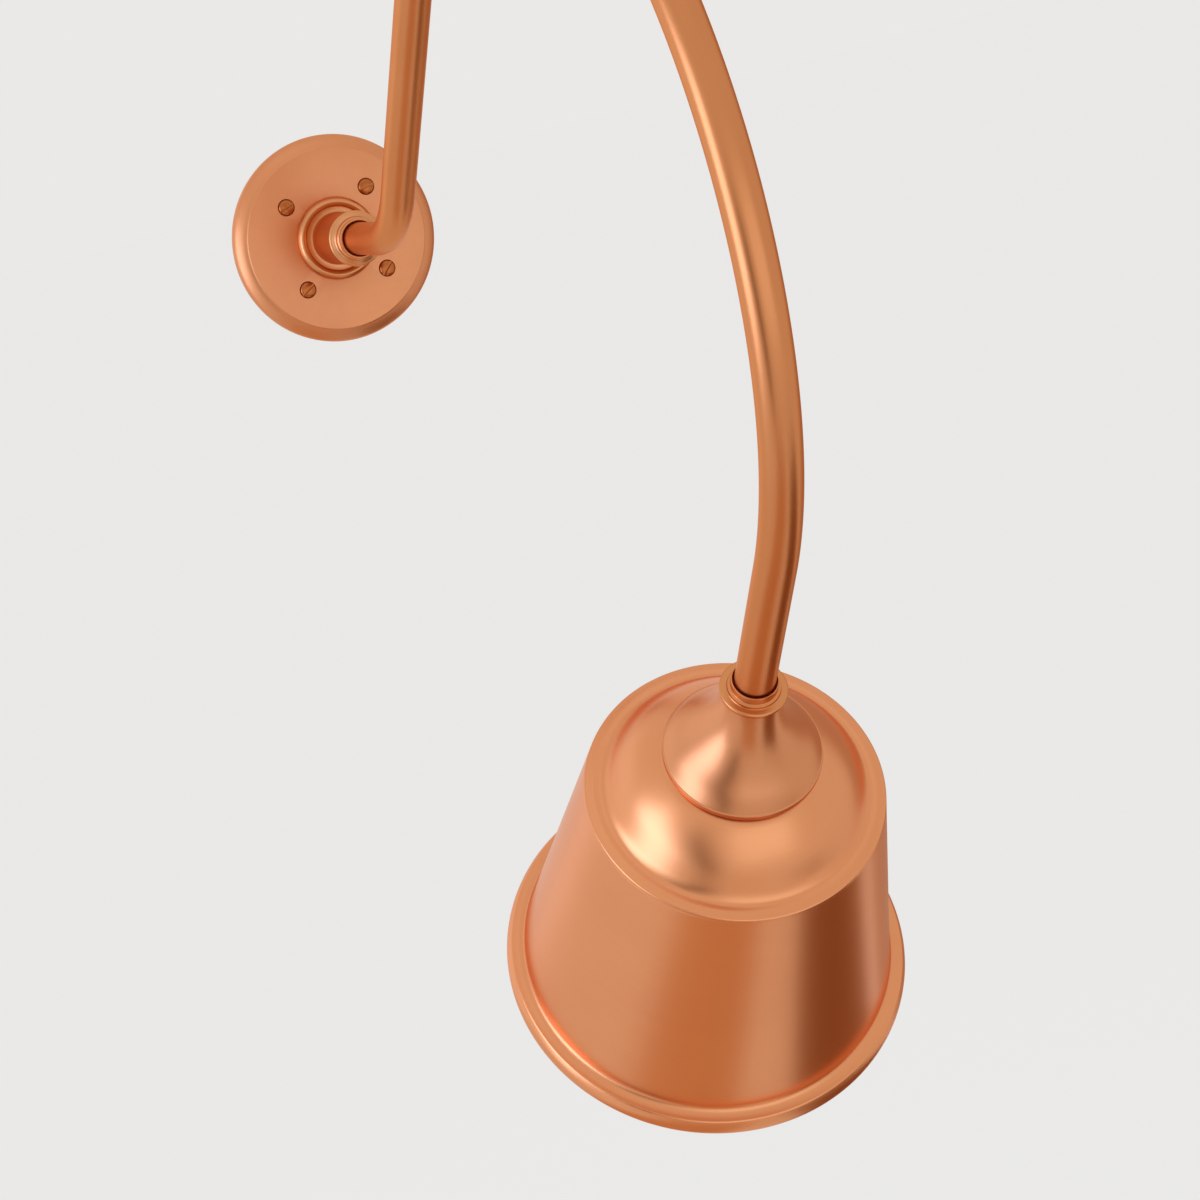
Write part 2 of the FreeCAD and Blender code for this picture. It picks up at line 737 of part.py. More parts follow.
def make_holder_body():
    body = turned(below([
        (0, holder_split), (14.8, holder_split), (holder_cap_radius + 0.8, holder_split + 0.6),
        (holder_body_radius, holder_split + 3.0), (holder_body_radius, holder_collar_top),
        (holder_collar_radius, holder_collar_top + 0.8), (holder_collar_radius, shade_plate_level - fixed_gap),
        (holder_body_radius, shade_plate_level - fixed_gap),
        (holder_body_radius, holder_bottom - 1.2), (holder_body_radius - 1.2, holder_bottom),
        (shell_radius + fixed_gap + 1.0, holder_bottom), (shell_radius + fixed_gap, holder_bottom - 1.0),
        (shell_radius + fixed_gap, shell_top - 0.1), (0, shell_top - 0.1)]))
    for angle in (0.0, 180.0):
        hole = moved(rod(holder_screw_radius + fixed_gap, -holder_split - 9, -holder_split + 1),
                     0, holder_screw_place, 0)
        terminal = moved(rod(1.6, -holder_split - 5.2, -holder_split + 1), terminal_x, 0, 0)
        body = body.cut(spun(hole, angle)).cut(spun(terminal, angle))
    return lamp_side(one_solid(body))


def make_holder_screws():
    solids = []
    for angle in (0.0, 180.0):
        low = -holder_split + 6.65
        screw = turned([(0, -holder_split - 8.0), (holder_screw_radius, -holder_split - 8.0),
                        (holder_screw_radius, low), (2.35, low), (2.35, low + 1.2), (1.6, low + 1.8),
                        (0, low + 1.8)])
        slot = Part.makeBox(6, 0.7, 1.2, vec(-3, -0.35, low + 1.0))
        solids.append(spun(moved(one_solid(screw.cut(slot)), 0, holder_screw_place, 0), angle))
    return lamp_side(Part.makeCompound(solids))


def make_terminal_screws():
    solids = []
    for sign in (1.0, -1.0):
        screw = turned([(0, -holder_split - 5.0), (1.5, -holder_split - 5.0), (1.5, -holder_split - 1.05),
                        (0, -holder_split - 1.05)])
        solids.append(moved(screw, sign * terminal_x, 0, 0))
    return lamp_side(Part.makeCompound(solids))


def make_screw_shell():
    shell = turned(below([
        (shell_radius - shell_wall, shell_bottom), (shell_radius, shell_bottom), (shell_radius, shell_top),
        (6.0, shell_top), (6.0, shell_top + shell_wall), (shell_radius - shell_wall, shell_top + shell_wall)]))
    return lamp_side(one_solid(shell))


def make_centre_contact():
    level = -shell_top
    spring = Part.makeBox(8.0, 4.0, 0.5, vec(-4.0, -2.0, level - 0.45))
    stud = turned([(0, level - 0.4), (2.2, level - 0.4), (1.6, level - 1.6), (0, level - 1.9)])
    return lamp_side(one_solid(spring.fuse(stud).removeSplitter()))


# ---- the bulb ----
def make_bulb_cap():
    wall = bulb_cap_wall
    return lamp_side(turned(below([
        (bulb_cap_radius - wall, bulb_cap_bottom), (bulb_cap_radius, bulb_cap_bottom),
        (bulb_cap_radius, bulb_cap_top + 4.0), (bulb_cap_radius - 1.4, bulb_cap_top + 2.6),
        (9.0, bulb_cap_top + 2.2), (9.0, bulb_cap_top + 2.2 + wall),
        (bulb_cap_radius - 1.6, bulb_cap_top + 2.6 + wall), (bulb_cap_radius - wall, bulb_cap_top + 4.2)])))


def make_bulb_insulator():
    return lamp_side(turned(below([
        (3.0, bulb_cap_top + 0.3), (5.2, bulb_cap_top + 0.3), (8.9, bulb_cap_top + 2.0),
        (8.9, bulb_cap_top + 3.4), (3.0, bulb_cap_top + 3.4)])))


def make_bulb_tip():
    return lamp_side(turned(below([
        (0, bulb_cap_top - 0.7), (2.0, bulb_cap_top - 0.5), (2.95, bulb_cap_top + 0.1),
        (2.95, bulb_cap_top + 3.2), (0, bulb_cap_top + 3.2)])))


def make_bulb_glass():
    w = bulb_wall
    neck = bulb_cap_radius - bulb_cap_wall - fixed_gap
    wide = bulb_radius
    mid = bulb_widest_level
    low = bulb_bottom
    return lamp_side(turned(below([
        (neck, bulb_cap_top + 8.0), (neck, bulb_cap_bottom),
        [(neck + 0.3, bulb_cap_bottom + 4.0), (neck + 3.6, mid - 36.0), (neck + 10.2, mid - 20.0),
         (wide - 1.3, mid - 8.0), (wide, mid), (wide - 2.2, mid + 11.0), (wide - 9.4, mid + 21.6),
         (wide - 18.0, low - 2.3), (0, low)],
        (0, low - w),
        [(wide - 18.2, low - 2.3 - w), (wide - 9.9, mid + 21.0), (wide - 3.0, mid + 10.7), (wide - w, mid),
         (wide - 2.0, mid - 7.6), (neck + 9.5, mid - 19.5), (neck + 2.8, mid - 35.8),
         (neck - w + 0.3, bulb_cap_bottom + 4.2), (neck - w, bulb_cap_bottom)],
        (neck - w, bulb_cap_top + 8.0)])))


def make_bulb_stem():
    base = bulb_cap_top + 9.0
    return lamp_side(turned(below([
        (0, base), (bulb_cap_radius - 1.4, base), (bulb_cap_radius - 1.4, base + 1.0),
        [(8.0, base + 3.0), (4.4, base + 9.0), (3.2, base + 16.0)],
        (3.2, base + 30.0), (2.2, base + 32.0), (1.4, base + 33.0), (1.4, base + 52.0), (0, base + 52.4)])))


def make_filament():
    """Four upright light strips round the glass stem on a wire frame, as one solid."""
    base = bulb_cap_top + 9.0 + 31.0
    low = base + 36.0
    solid = ring(2.6, 1.45, -base - 6.6, -base - 6.0)
    solid = solid.fuse(ring(2.6, 1.45, -base - 19.0, -base - 18.4))
    for i in range(4):
        a = 45.0 + 90.0 * i
        strip = Part.makeBox(strip_width, strip_width, strip_length,
                             vec(strip_circle_radius - strip_width / 2.0, -strip_width / 2.0, -low - 1.0))
        strip = spun(strip, a)
        upper = spun(thick_line([vec(2.2, 0, -base - 6.3), vec(9.1, 0, -base - 3.4)], 0.35), a)
        solid = solid.fuse(strip).fuse(upper)
        lower = spun(thick_line([vec(2.2, 0, -base - 18.7), vec(8.9, 0, -base - 26.0)], 0.35), a)
        solid = solid.fuse(lower)
    return lamp_side(one_solid(solid))


pieces = {
    "backplate": make_backplate,
    "wall_gasket": make_wall_gasket,
    "plate_screws": make_plate_screws,
    "hub": make_hub,
    "hub_washer": make_hub_washer,
    "hub_locknut": make_hub_locknut,
    "arm_grub_screws": make_arm_grub_screws,
    "earth_screw": make_earth_screw,
    "earth_tag": make_earth_tag,
    "friction_washer": make_friction_washer,
    "arm_tube": make_arm_tube,
    "retaining_clip": make_retaining_clip,
    "tube_grommets": make_tube_grommets,
    "inner_flex": make_inner_flex,
    "live_tails": lambda: make_tails("live"),
    "neutral_tails": lambda: make_tails("neutral"),
    "earth_tails": lambda: make_tails("earth"),
    "splice_caps": make_splice_caps,
    "shade_collar": make_shade_collar,
    "collar_grub_screws": make_collar_grub_screws,
    "nipple": make_nipple,
    "nipple_locknut": make_nipple_locknut,
    "shade_holder": make_shade_holder,
    "shade": make_shade,
    "shade_ring": make_shade_ring,
    "holder_cap": make_holder_cap,
    "holder_body": make_holder_body,
    "holder_screws": make_holder_screws,
    "terminal_screws": make_terminal_screws,
    "screw_shell": make_screw_shell,
    "centre_contact": make_centre_contact,
    "bulb_cap": make_bulb_cap,
    "bulb_insulator": make_bulb_insulator,
    "bulb_tip": make_bulb_tip,
    "bulb_glass": make_bulb_glass,
    "bulb_stem": make_bulb_stem,
    "filament": make_filament,
}

os.makedirs(out_dir, exist_ok=True)
for name, maker in pieces.items():
    shape = maker()
    shape.exportStep(os.path.join(out_dir, name + ".step"))
    print(name, len(shape.Solids), shape.isValid(), round(shape.Volume, 1))
print("flange centre", round(flange_centre.y, 2), round(flange_centre.z, 2))
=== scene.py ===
import json
import math

import bmesh
import bpy
import numpy as np
from bpy.props import FloatProperty, FloatVectorProperty, IntProperty, PointerProperty
from mathutils import Matrix, Vector


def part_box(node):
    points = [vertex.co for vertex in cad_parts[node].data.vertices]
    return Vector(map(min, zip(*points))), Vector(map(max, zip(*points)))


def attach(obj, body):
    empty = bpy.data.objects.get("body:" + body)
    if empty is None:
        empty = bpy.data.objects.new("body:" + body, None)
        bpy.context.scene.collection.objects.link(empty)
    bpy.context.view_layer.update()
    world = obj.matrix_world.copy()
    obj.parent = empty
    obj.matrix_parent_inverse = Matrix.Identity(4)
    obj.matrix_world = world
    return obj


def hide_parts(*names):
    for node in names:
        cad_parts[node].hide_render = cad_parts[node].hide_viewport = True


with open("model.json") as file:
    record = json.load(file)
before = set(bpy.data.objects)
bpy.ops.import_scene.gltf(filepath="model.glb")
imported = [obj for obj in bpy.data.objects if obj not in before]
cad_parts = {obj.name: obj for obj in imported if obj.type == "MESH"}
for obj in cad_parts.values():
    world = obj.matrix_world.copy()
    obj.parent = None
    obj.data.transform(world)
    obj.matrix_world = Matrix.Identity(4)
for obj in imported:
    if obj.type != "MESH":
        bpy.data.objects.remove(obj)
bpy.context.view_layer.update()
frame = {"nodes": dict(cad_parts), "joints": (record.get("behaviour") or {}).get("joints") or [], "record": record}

bl_info = {
    "name": "Gooseneck wall sconce",
    "version": (1, 0, 0),
    "blender": (4, 5, 0),
    "location": "View3D > Sidebar > Sconce",
    "description": "Makes the pieces, finishes and studio of a copper gooseneck wall light",
    "category": "Object",
}

MM = 0.001


# ---- places taken from the frame ----
def box_centre(node):
    low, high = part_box(node)
    return (low + high) / 2


def joint_axis(name):
    return Vector(next(j["axis"] for j in frame["joints"] if j["name"] == name)).normalized()


NIPPLE_MIDDLE_DEPTH = 18.5 * MM
LAMP_DOWN = joint_axis("bulb_out")
LAMP_LEAN = math.atan2(LAMP_DOWN.y, -LAMP_DOWN.z)
FLANGE_CENTRE = box_centre("nipple") - LAMP_DOWN * NIPPLE_MIDDLE_DEPTH
LAMP_PLACE = Matrix.Translation(FLANGE_CENTRE) @ Matrix.Rotation(LAMP_LEAN, 4, "X")
WALL_PLACE = Matrix.Rotation(math.radians(90), 4, "X")
PLATE_LOW, PLATE_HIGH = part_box("backplate")
SHADE_LOW, SHADE_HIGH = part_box("shade")
SCREW_TIP_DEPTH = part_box("plate_screws")[1].y


# ---- what a user would change ----
def length(name, text, value):
    return FloatProperty(name=name, description=text, default=value, min=0.0, unit="LENGTH", precision=4)


def colour(name, text, value):
    return FloatVectorProperty(name=name, description=text, default=value, size=3, subtype="COLOR",
                               min=0.0, max=1.0)


class SconceSizes(bpy.types.PropertyGroup):
    """Sizes of the pieces made here"""
    plate_radius: length("Plate radius", "Half the width of the wall plate",
                         (PLATE_HIGH.x - PLATE_LOW.x) / 2)
    plate_height: length("Plate height", "How far the plate's face stands off the wall", -PLATE_LOW.y)
    rim_radius: length("Shade rim radius", "Half the width of the shade's mouth",
                       (SHADE_HIGH.x - SHADE_LOW.x) / 2)
    tube_radius: length("Tube radius", "Half the width of the arm's tube", 9.525 * MM)
    tube_wall: length("Tube wall", "Thickness of the arm's tube", 1.5 * MM)
    screw_circle: length("Screw circle radius", "Distance of the plate screws from the centre", 35.7 * MM)
    screw_head: length("Screw head radius", "Half the width of a plate screw's head", 4.75 * MM)
    screw_slot: length("Screw slot width", "Width of the slot in a plate screw's head", 1.3 * MM)
    screw_count: IntProperty(name="Plate screws", description="How many screws hold the plate",
                             default=4, min=1)
    soft_edge: length("Edge softening", "Radius that turned edges are eased by", 0.28 * MM)


class SconceColours(bpy.types.PropertyGroup):
    """Colours of the finishes made here"""
    copper: colour("Copper", "Satin copper of the plate, arm and shade", (0.82, 0.325, 0.112))
    copper_dark: colour("Copper, darker", "Darker patches in the satin copper", (0.74, 0.262, 0.088))
    backdrop: colour("Backdrop", "Floor and background", (0.822, 0.815, 0.800))


def sizes():
    return bpy.context.scene.sconce_sizes


def colours():
    return bpy.context.scene.sconce_colours


# ---- shader arithmetic ----
class Wire:
    """A shader socket that takes part in plain arithmetic."""

    def __init__(self, finish, socket):
        self.finish = finish
        self.socket = socket

    def maths(self, operation, *values):
        inputs = {i: v for i, v in enumerate(values)}
        return self.finish.node("ShaderNodeMath", {"operation": operation}, inputs)

    def __add__(self, other):
        return self.maths("ADD", self, other)

    def __radd__(self, other):
        return self.maths("ADD", other, self)

    def __sub__(self, other):
        return self.maths("SUBTRACT", self, other)

    def __mul__(self, other):
        return self.maths("MULTIPLY", self, other)

    def __truediv__(self, other):
        return self.maths("DIVIDE", self, other)


class Finish:
    """A material built from the Principled shader and a few named nodes."""

    def __init__(self, name, **constants):
        self.material = bpy.data.materials.new(name)
        self.material.use_nodes = True
        self.tree = self.material.node_tree
        self.tree.nodes.clear()
        self.shader = self.tree.nodes.new("ShaderNodeBsdfPrincipled")
        self.output = self.tree.nodes.new("ShaderNodeOutputMaterial")
        self.tree.links.new(self.shader.outputs[0], self.output.inputs["Surface"])
        for key, value in constants.items():
            self.set(key.replace("_", " ").title().replace("Ior", "IOR"), value)

    def node(self, kind, settings=None, inputs=None, output=0):
        made = self.tree.nodes.new(kind)
        for key, value in (settings or {}).items():
            setattr(made, key, value)
        for key, value in (inputs or {}).items():
            self.feed(made.inputs[key], value)
        return Wire(self, made.outputs[output])

    def feed(self, socket, value):
        if isinstance(value, Wire):
            self.tree.links.new(value.socket, socket)
        elif isinstance(value, (tuple, list)) and len(value) == 3 and socket.type == "RGBA":
            socket.default_value = (*value, 1.0)
        else:
            socket.default_value = value

    def set(self, name, value):
        self.feed(self.shader.inputs[name], value)

    def mix(self, factor, first, second):
        return self.node("ShaderNodeMix", {"data_type": "RGBA"}, {"Factor": factor, 6: first, 7: second}, 2)

    def point(self, place):
        """Object coordinates seen from a piece's own place."""
        where = self.node("ShaderNodeTexCoord", output="Object")
        turn = tuple(place.to_euler())
        return self.node("ShaderNodeMapping", {"vector_type": "TEXTURE"},
                         {"Vector": where, "Location": tuple(place.translation), "Rotation": turn})

    def split(self, vector):
        first = self.node("ShaderNodeSeparateXYZ", None, {0: vector})
        return [Wire(self, part) for part in first.socket.node.outputs]

    def join(self, x, y, z):
        return self.node("ShaderNodeCombineXYZ", None, {0: x, 1: y, 2: z})

    def noise(self, vector, scale, detail=3.0, roughness=0.5):
        return self.node("ShaderNodeTexNoise", None,
                         {"Vector": vector, "Scale": scale, "Detail": detail, "Roughness": roughness})

    def bump(self, height, strength, distance):
        self.set("Normal", self.node("ShaderNodeBump", None,
                                     {"Height": height, "Strength": strength, "Distance": distance}))

    def show(self, rays, lit, other, share=1.0):
        """Ends the material in one shader, or by a share in another for the named kinds of ray."""
        path = self.node("ShaderNodeLightPath").socket.node.outputs
        factor = Wire(self, path[rays[0]])
        for ray in rays[1:]:
            factor = factor.maths("MAXIMUM", factor, Wire(self, path[ray]))
        mixed = self.node("ShaderNodeMixShader", None, {0: factor * share, 1: lit, 2: other})
        self.tree.links.new(mixed.socket, self.output.inputs["Surface"])


def hoops(finish, place, density):
    """Coordinates that vary quickly along the outline of a turned piece and slowly round it."""
    x, y, z = finish.split(finish.point(place))
    flat = finish.join(x, y, 0.0)
    radius = finish.node("ShaderNodeVectorMath", {"operation": "LENGTH"}, {0: flat}, "Value")
    around = radius + 0.002
    across, up = x / around, y / around
    return finish.join(radius * density + across * 0.9, z * density + up * 0.9, across * 0.5)


def satin_copper(name, place, grain, depth=(0.86, 0.86, 0.86), coat=0.3, rough=0.285):
    """Brushed copper. The grain runs round the place's Z axis, or along the arm. The depth is a share of the
    copper in red, green and blue."""
    finish = Finish(name, metallic=1.0, coat_weight=coat, coat_roughness=0.3)
    finish.set("Specular Tint", (1.0, 0.58, 0.36, 1.0))
    light, dark = (tuple(share * c for share, c in zip(depth, tint))
                   for tint in (colours().copper, colours().copper_dark))
    spread = finish.node("ShaderNodeTexCoord", output="Object")
    if grain == "round":
        streaks = finish.noise(hoops(finish, place, 900.0), 1.0, 4.0, 0.62)
    elif grain == "plate":
        streaks = finish.noise(spread, 180.0, 5.0, 0.65)
    else:
        x, y, z = finish.split(spread)
        along = finish.join(x * 1500.0, (y + z) * 9.0, (y - z) * 9.0)
        streaks = finish.noise(along, 1.0, 4.0, 0.62)
    patches = finish.noise(spread, 16.0, 3.0, 0.55)
    specks = finish.noise(spread, 750.0, 2.0, 0.6)
    tone = patches * 0.8 + streaks * 0.35 - 0.15
    finish.set("Base Color", finish.mix(tone, light, dark))
    finish.set("Roughness", rough + patches * 0.04 + streaks * 0.05)
    finish.bump(streaks * 0.6 + specks * 0.35, 0.10, 0.00006)
    return finish.material


def plain_metal(name, tint, rough, scale=900.0, relief=0.15):
    """Small turned or plated parts."""
    finish = Finish(name, metallic=1.0)
    where = finish.node("ShaderNodeTexCoord", output="Object")
    grain = finish.noise(where, scale, 3.0, 0.6)
    clouds = finish.noise(where, 120.0, 2.0, 0.5)
    darker = tuple(0.8 * c for c in tint)
    finish.set("Base Color", finish.mix(clouds, tint, darker))
    finish.set("Roughness", rough + grain * 0.12 - 0.04)
    finish.bump(grain, relief, 0.00005)
    return finish.material


def moulded(name, tint, rough, scale=1200.0, relief=0.12, **extra):
    """Rubber, plastics and insulation."""
    finish = Finish(name, **extra)
    where = finish.node("ShaderNodeTexCoord", output="Object")
    grain = finish.noise(where, scale, 3.0, 0.6)
    clouds = finish.noise(where, 90.0, 2.0, 0.5)
    darker = tuple(0.86 * c for c in tint)
    finish.set("Base Color", finish.mix(clouds, tint, darker))
    finish.set("Roughness", rough + grain * 0.1 - 0.05)
    finish.bump(grain, relief, 0.00006)
    return finish.material


def clear_glass(name):
    finish = Finish(name, transmission_weight=1.0, ior=1.47, roughness=0.0)
    finish.set("Base Color", (0.97, 0.985, 0.98))
    return finish.material


def glowing_strip(name):
    finish = Finish(name, roughness=0.55, subsurface_weight=0.1)
    where = finish.node("ShaderNodeTexCoord", output="Object")
    beads = finish.noise(where, 700.0, 2.0, 0.5)
    finish.set("Base Color", finish.mix(beads, (0.93, 0.66, 0.12), (0.86, 0.55, 0.08)))
    finish.bump(beads, 0.3, 0.0001)
    return finish.material


FINISHES = {}


def finish_for(slot):
    """The material of a record slot, made once."""
    if slot not in FINISHES:
        FINISHES[slot] = RECIPES[slot]()
    return FINISHES[slot]


# Each copper finish scales the copper by its own share: the shade's is the lightest and the arm's the darkest.
RECIPES = {
    "plate_copper": lambda: satin_copper("plate satin copper", WALL_PLACE, "plate",
                                         (0.92, 0.89, 0.98), 0.6, 0.36),
    "hub_copper": lambda: satin_copper("hub satin copper", WALL_PLACE, "round", (0.88, 0.96, 1.1)),
    "collar_copper": lambda: satin_copper("collar satin copper", LAMP_PLACE, "round"),
    "arm_copper": lambda: satin_copper("arm satin copper", WALL_PLACE, "along", (0.84, 0.8, 0.8)),
    "holder_copper": lambda: satin_copper("holder satin copper", LAMP_PLACE, "round",
                                          (0.87, 0.85, 0.95), 0.6),
    "shade_copper": lambda: satin_copper("shade satin copper", LAMP_PLACE, "round", (1.0, 0.98, 1.05), 0.8),
    "screw_copper": lambda: plain_metal("plated screw copper", (0.52, 0.15, 0.04), 0.27, 1400.0),
    "gasket_rubber": lambda: moulded("gasket rubber", (0.028, 0.028, 0.03), 0.8, 900.0, 0.3),
    "grommet_rubber": lambda: moulded("grommet rubber", (0.035, 0.035, 0.035), 0.7, 900.0, 0.2),
    "zinc_steel": lambda: plain_metal("zinc plated steel", (0.60, 0.61, 0.63), 0.33),
    "turned_brass": lambda: plain_metal("turned brass", (0.76, 0.55, 0.22), 0.28),
    "shell_brass": lambda: plain_metal("rolled brass", (0.80, 0.60, 0.26), 0.22),
    "spring_bronze": lambda: plain_metal("spring bronze", (0.70, 0.46, 0.24), 0.3),
    "white_ceramic": lambda: moulded("glazed ceramic", (0.80, 0.78, 0.73), 0.22, 260.0, 0.05, coat_weight=0.6,
                                     coat_roughness=0.08),
    "washer_nylon": lambda: moulded("natural nylon", (0.74, 0.72, 0.66), 0.5, subsurface_weight=0.1),
    "splice_plastic": lambda: moulded("splice plastic", (0.55, 0.55, 0.50), 0.3),
    "flex_jacket": lambda: moulded("silicone jacket", (0.70, 0.69, 0.66), 0.55),
    "live_core": lambda: moulded("black insulation", (0.02, 0.02, 0.02), 0.4),
    "neutral_core": lambda: moulded("white insulation", (0.75, 0.75, 0.73), 0.4),
    "earth_core": lambda: moulded("green insulation", (0.02, 0.19, 0.04), 0.4),
    "cap_alloy": lambda: plain_metal("lamp cap alloy", (0.74, 0.73, 0.70), 0.25),
    "black_glass": lambda: moulded("black insulating glass", (0.012, 0.012, 0.012), 0.12),
    "solder": lambda: plain_metal("soft solder", (0.62, 0.62, 0.62), 0.35, 500.0, 0.4),
    "bulb_glass": lambda: clear_glass("bulb glass"),
    "filament_yellow": lambda: glowing_strip("phosphor strips"),
}


# ---- outlines and turned meshes ----
def natural_spline(knots, step):
    """Points along a cubic spline through the knots, with straight ends, as a spun outline flows."""
    pts = np.array(knots, float)
    gaps = np.linalg.norm(np.diff(pts, axis=0), axis=1)
    t = np.concatenate([[0.0], np.cumsum(gaps)])
    n = len(pts)
    a = np.eye(n)
    b = np.zeros((n, 2))
    for i in range(1, n - 1):
        a[i, i - 1] = gaps[i - 1]
        a[i, i] = 2 * (gaps[i - 1] + gaps[i])
        a[i, i + 1] = gaps[i]
        b[i] = 6 * ((pts[i + 1] - pts[i]) / gaps[i] - (pts[i] - pts[i - 1]) / gaps[i - 1])
    bend = np.linalg.solve(a, b)
    out = []
    for i in range(n - 1):
        h = gaps[i]
        for s in np.linspace(0, h, max(2, int(math.ceil(h / step)) + 1))[1:]:
            u, v = h - s, s
            p = (bend[i] * u**3 + bend[i + 1] * v**3) / (6 * h)
            p = p + (pts[i] / h - bend[i] * h / 6) * u + (pts[i + 1] / h - bend[i + 1] * h / 6) * v
            out.append(tuple(p))
    return out


def eased_corner(before, corner, after, radius):
    """A small arc in place of a corner, as four points."""
    a, c, b = (np.array(p, float) for p in (before, corner, after))
    u, v = a - c, b - c
    lu, lv = np.linalg.norm(u), np.linalg.norm(v)
    if lu < 1e-6 or lv < 1e-6:
        return [tuple(c)]
    u, v = u / lu, v / lv
    turn = math.pi - math.acos(float(np.clip(u @ v, -1, 1)))
    if turn < math.radians(12):
        return [tuple(c)]
    cut = min(radius * math.tan(turn / 2), lu * 0.4, lv * 0.4)
    p, q = c + u * cut, c + v * cut
    middle = (p + q) / 2 * 0.5 + c * 0.5
    return [tuple(p), tuple(p * 0.3 + middle * 0.7), tuple(middle * 0.7 + q * 0.3), tuple(q)]


def traced(outline, ease, step=0.6):
    """An outline of (radius, height) corners and spline runs as a closed list of points, in millimetres."""
    points = []
    corner_flags = []
    for item in outline:
        if isinstance(item, list):
            run = natural_spline([points[-1]] + item, step)
            points += run
            corner_flags += [False] * len(run)
            corner_flags[-1] = True
        else:
            points.append(item)
            corner_flags.append(True)
    out = []
    n = len(points)
    for i, (p, is_corner) in enumerate(zip(points, corner_flags)):
        before, after = points[i - 1], points[(i + 1) % n]
        if is_corner and p[0] > 1e-6:
            out += eased_corner(before, p, after, ease)
        else:
            out.append(p)
    return out


def turned_mesh(name, outline, place, segments=256, ease=None, step=0.6):
    """Spins an outline in millimetres round the place's Z axis into a closed mesh in metres."""
    if ease is None:
        ease = sizes().soft_edge / MM
    points = traced(outline, ease, step)
    bm = bmesh.new()
    rings = []
    for r, z in points:
        if r < 1e-6:
            rings.append([bm.verts.new((0, 0, z * MM))])
            continue
        ring = []
        for k in range(segments):
            a = 2 * math.pi * k / segments
            ring.append(bm.verts.new((r * MM * math.cos(a), r * MM * math.sin(a), z * MM)))
        rings.append(ring)
    for i, first in enumerate(rings):
        second = rings[(i + 1) % len(rings)]
        if len(first) == 1 and len(second) == 1:
            continue
        for k in range(segments):
            m = (k + 1) % segments
            corners = (first[k % len(first)], first[m % len(first)],
                       second[m % len(second)], second[k % len(second)])
            bm.faces.new(list(dict.fromkeys(corners)))
    return mesh_piece(name, bm, place)


def mesh_piece(name, bm, place=Matrix.Identity(4), sharp=35.0):
    bmesh.ops.remove_doubles(bm, verts=bm.verts, dist=1e-7)
    bmesh.ops.recalc_face_normals(bm, faces=bm.faces)
    bm.transform(place)
    mesh = bpy.data.meshes.new(name)
    bm.to_mesh(mesh)
    bm.free()
    return shown(name, mesh, sharp)


def shown(name, mesh, sharp=35.0):
    """Links a mesh as an object at the origin, smooth but for its hard edges."""
    mesh.polygons.foreach_set("use_smooth", [True] * len(mesh.polygons))
    mesh.set_sharp_from_angle(angle=math.radians(sharp))
    piece = bpy.data.objects.new(name, mesh)
    bpy.context.scene.collection.objects.link(piece)
    return piece


def dressed(piece, body, slot, *nodes, finish=None):
    """Gives a piece its finish, found by its slot unless one is given, puts it in its body and hides the solids it
    stands for.
    """
    piece.data.materials.clear()
    piece.data.materials.append(finish or finish_for(slot))
    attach(piece, body)
    if nodes:
        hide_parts(*nodes)


def baked(piece):
    """The piece with its modifiers worked into a plain mesh."""
    graph = bpy.context.evaluated_depsgraph_get()
    mesh = bpy.data.meshes.new_from_object(piece.evaluated_get(graph))
    name = piece.name
    bpy.data.objects.remove(piece)
    return shown(name, mesh)


def carved(piece, cutters, operation="DIFFERENCE"):
    """Cuts closed pieces out of another, or joins them to it."""
    for cutter in cutters:
        tool = piece.modifiers.new("carve", "BOOLEAN")
        tool.operation = operation
        tool.solver = "EXACT"
        tool.object = cutter
    result = baked(piece)
    for cutter in cutters:
        bpy.data.objects.remove(cutter)
    return result


def below(outline):
    """Turns depths below the lamp's flange into heights."""
    return [[(r, -d) for r, d in item] if isinstance(item, list) else (item[0], -item[1]) for item in outline]


def cylinder_outline(radius, low, high):
    return [(0, low), (radius, low), (radius, high), (0, high)]


# ---- geometry node trees ----
def new_tree(name, inputs):
    """A modifier tree with named inputs: (name, socket type, default)."""
    tree = bpy.data.node_groups.new(name, "GeometryNodeTree")
    tree.interface.new_socket("Geometry", in_out="INPUT", socket_type="NodeSocketGeometry")
    tree.interface.new_socket("Geometry", in_out="OUTPUT", socket_type="NodeSocketGeometry")
    for label, kind, default in inputs:
        socket = tree.interface.new_socket(label, in_out="INPUT", socket_type=kind)
        if default is not None:
            socket.default_value = default
    return tree


def tree_node(tree, kind, settings=None, links=None):
    made = tree.nodes.new(kind)
    for key, value in (settings or {}).items():
        setattr(made, key, value)
    for key, value in (links or {}).items():
        if isinstance(value, bpy.types.NodeSocket):
            tree.links.new(value, made.inputs[key])
        else:
            made.inputs[key].default_value = value
    return made


def end_tree(tree, geometry, material):
    """Every tree ends in Realize Instances and Set Material."""
    real = tree_node(tree, "GeometryNodeRealizeInstances", links={0: geometry})
    painted = tree_node(tree, "GeometryNodeSetMaterial",
                        links={"Geometry": real.outputs[0], "Material": material})
    out = tree.nodes.new("NodeGroupOutput")
    tree.links.new(painted.outputs[0], out.inputs[0])


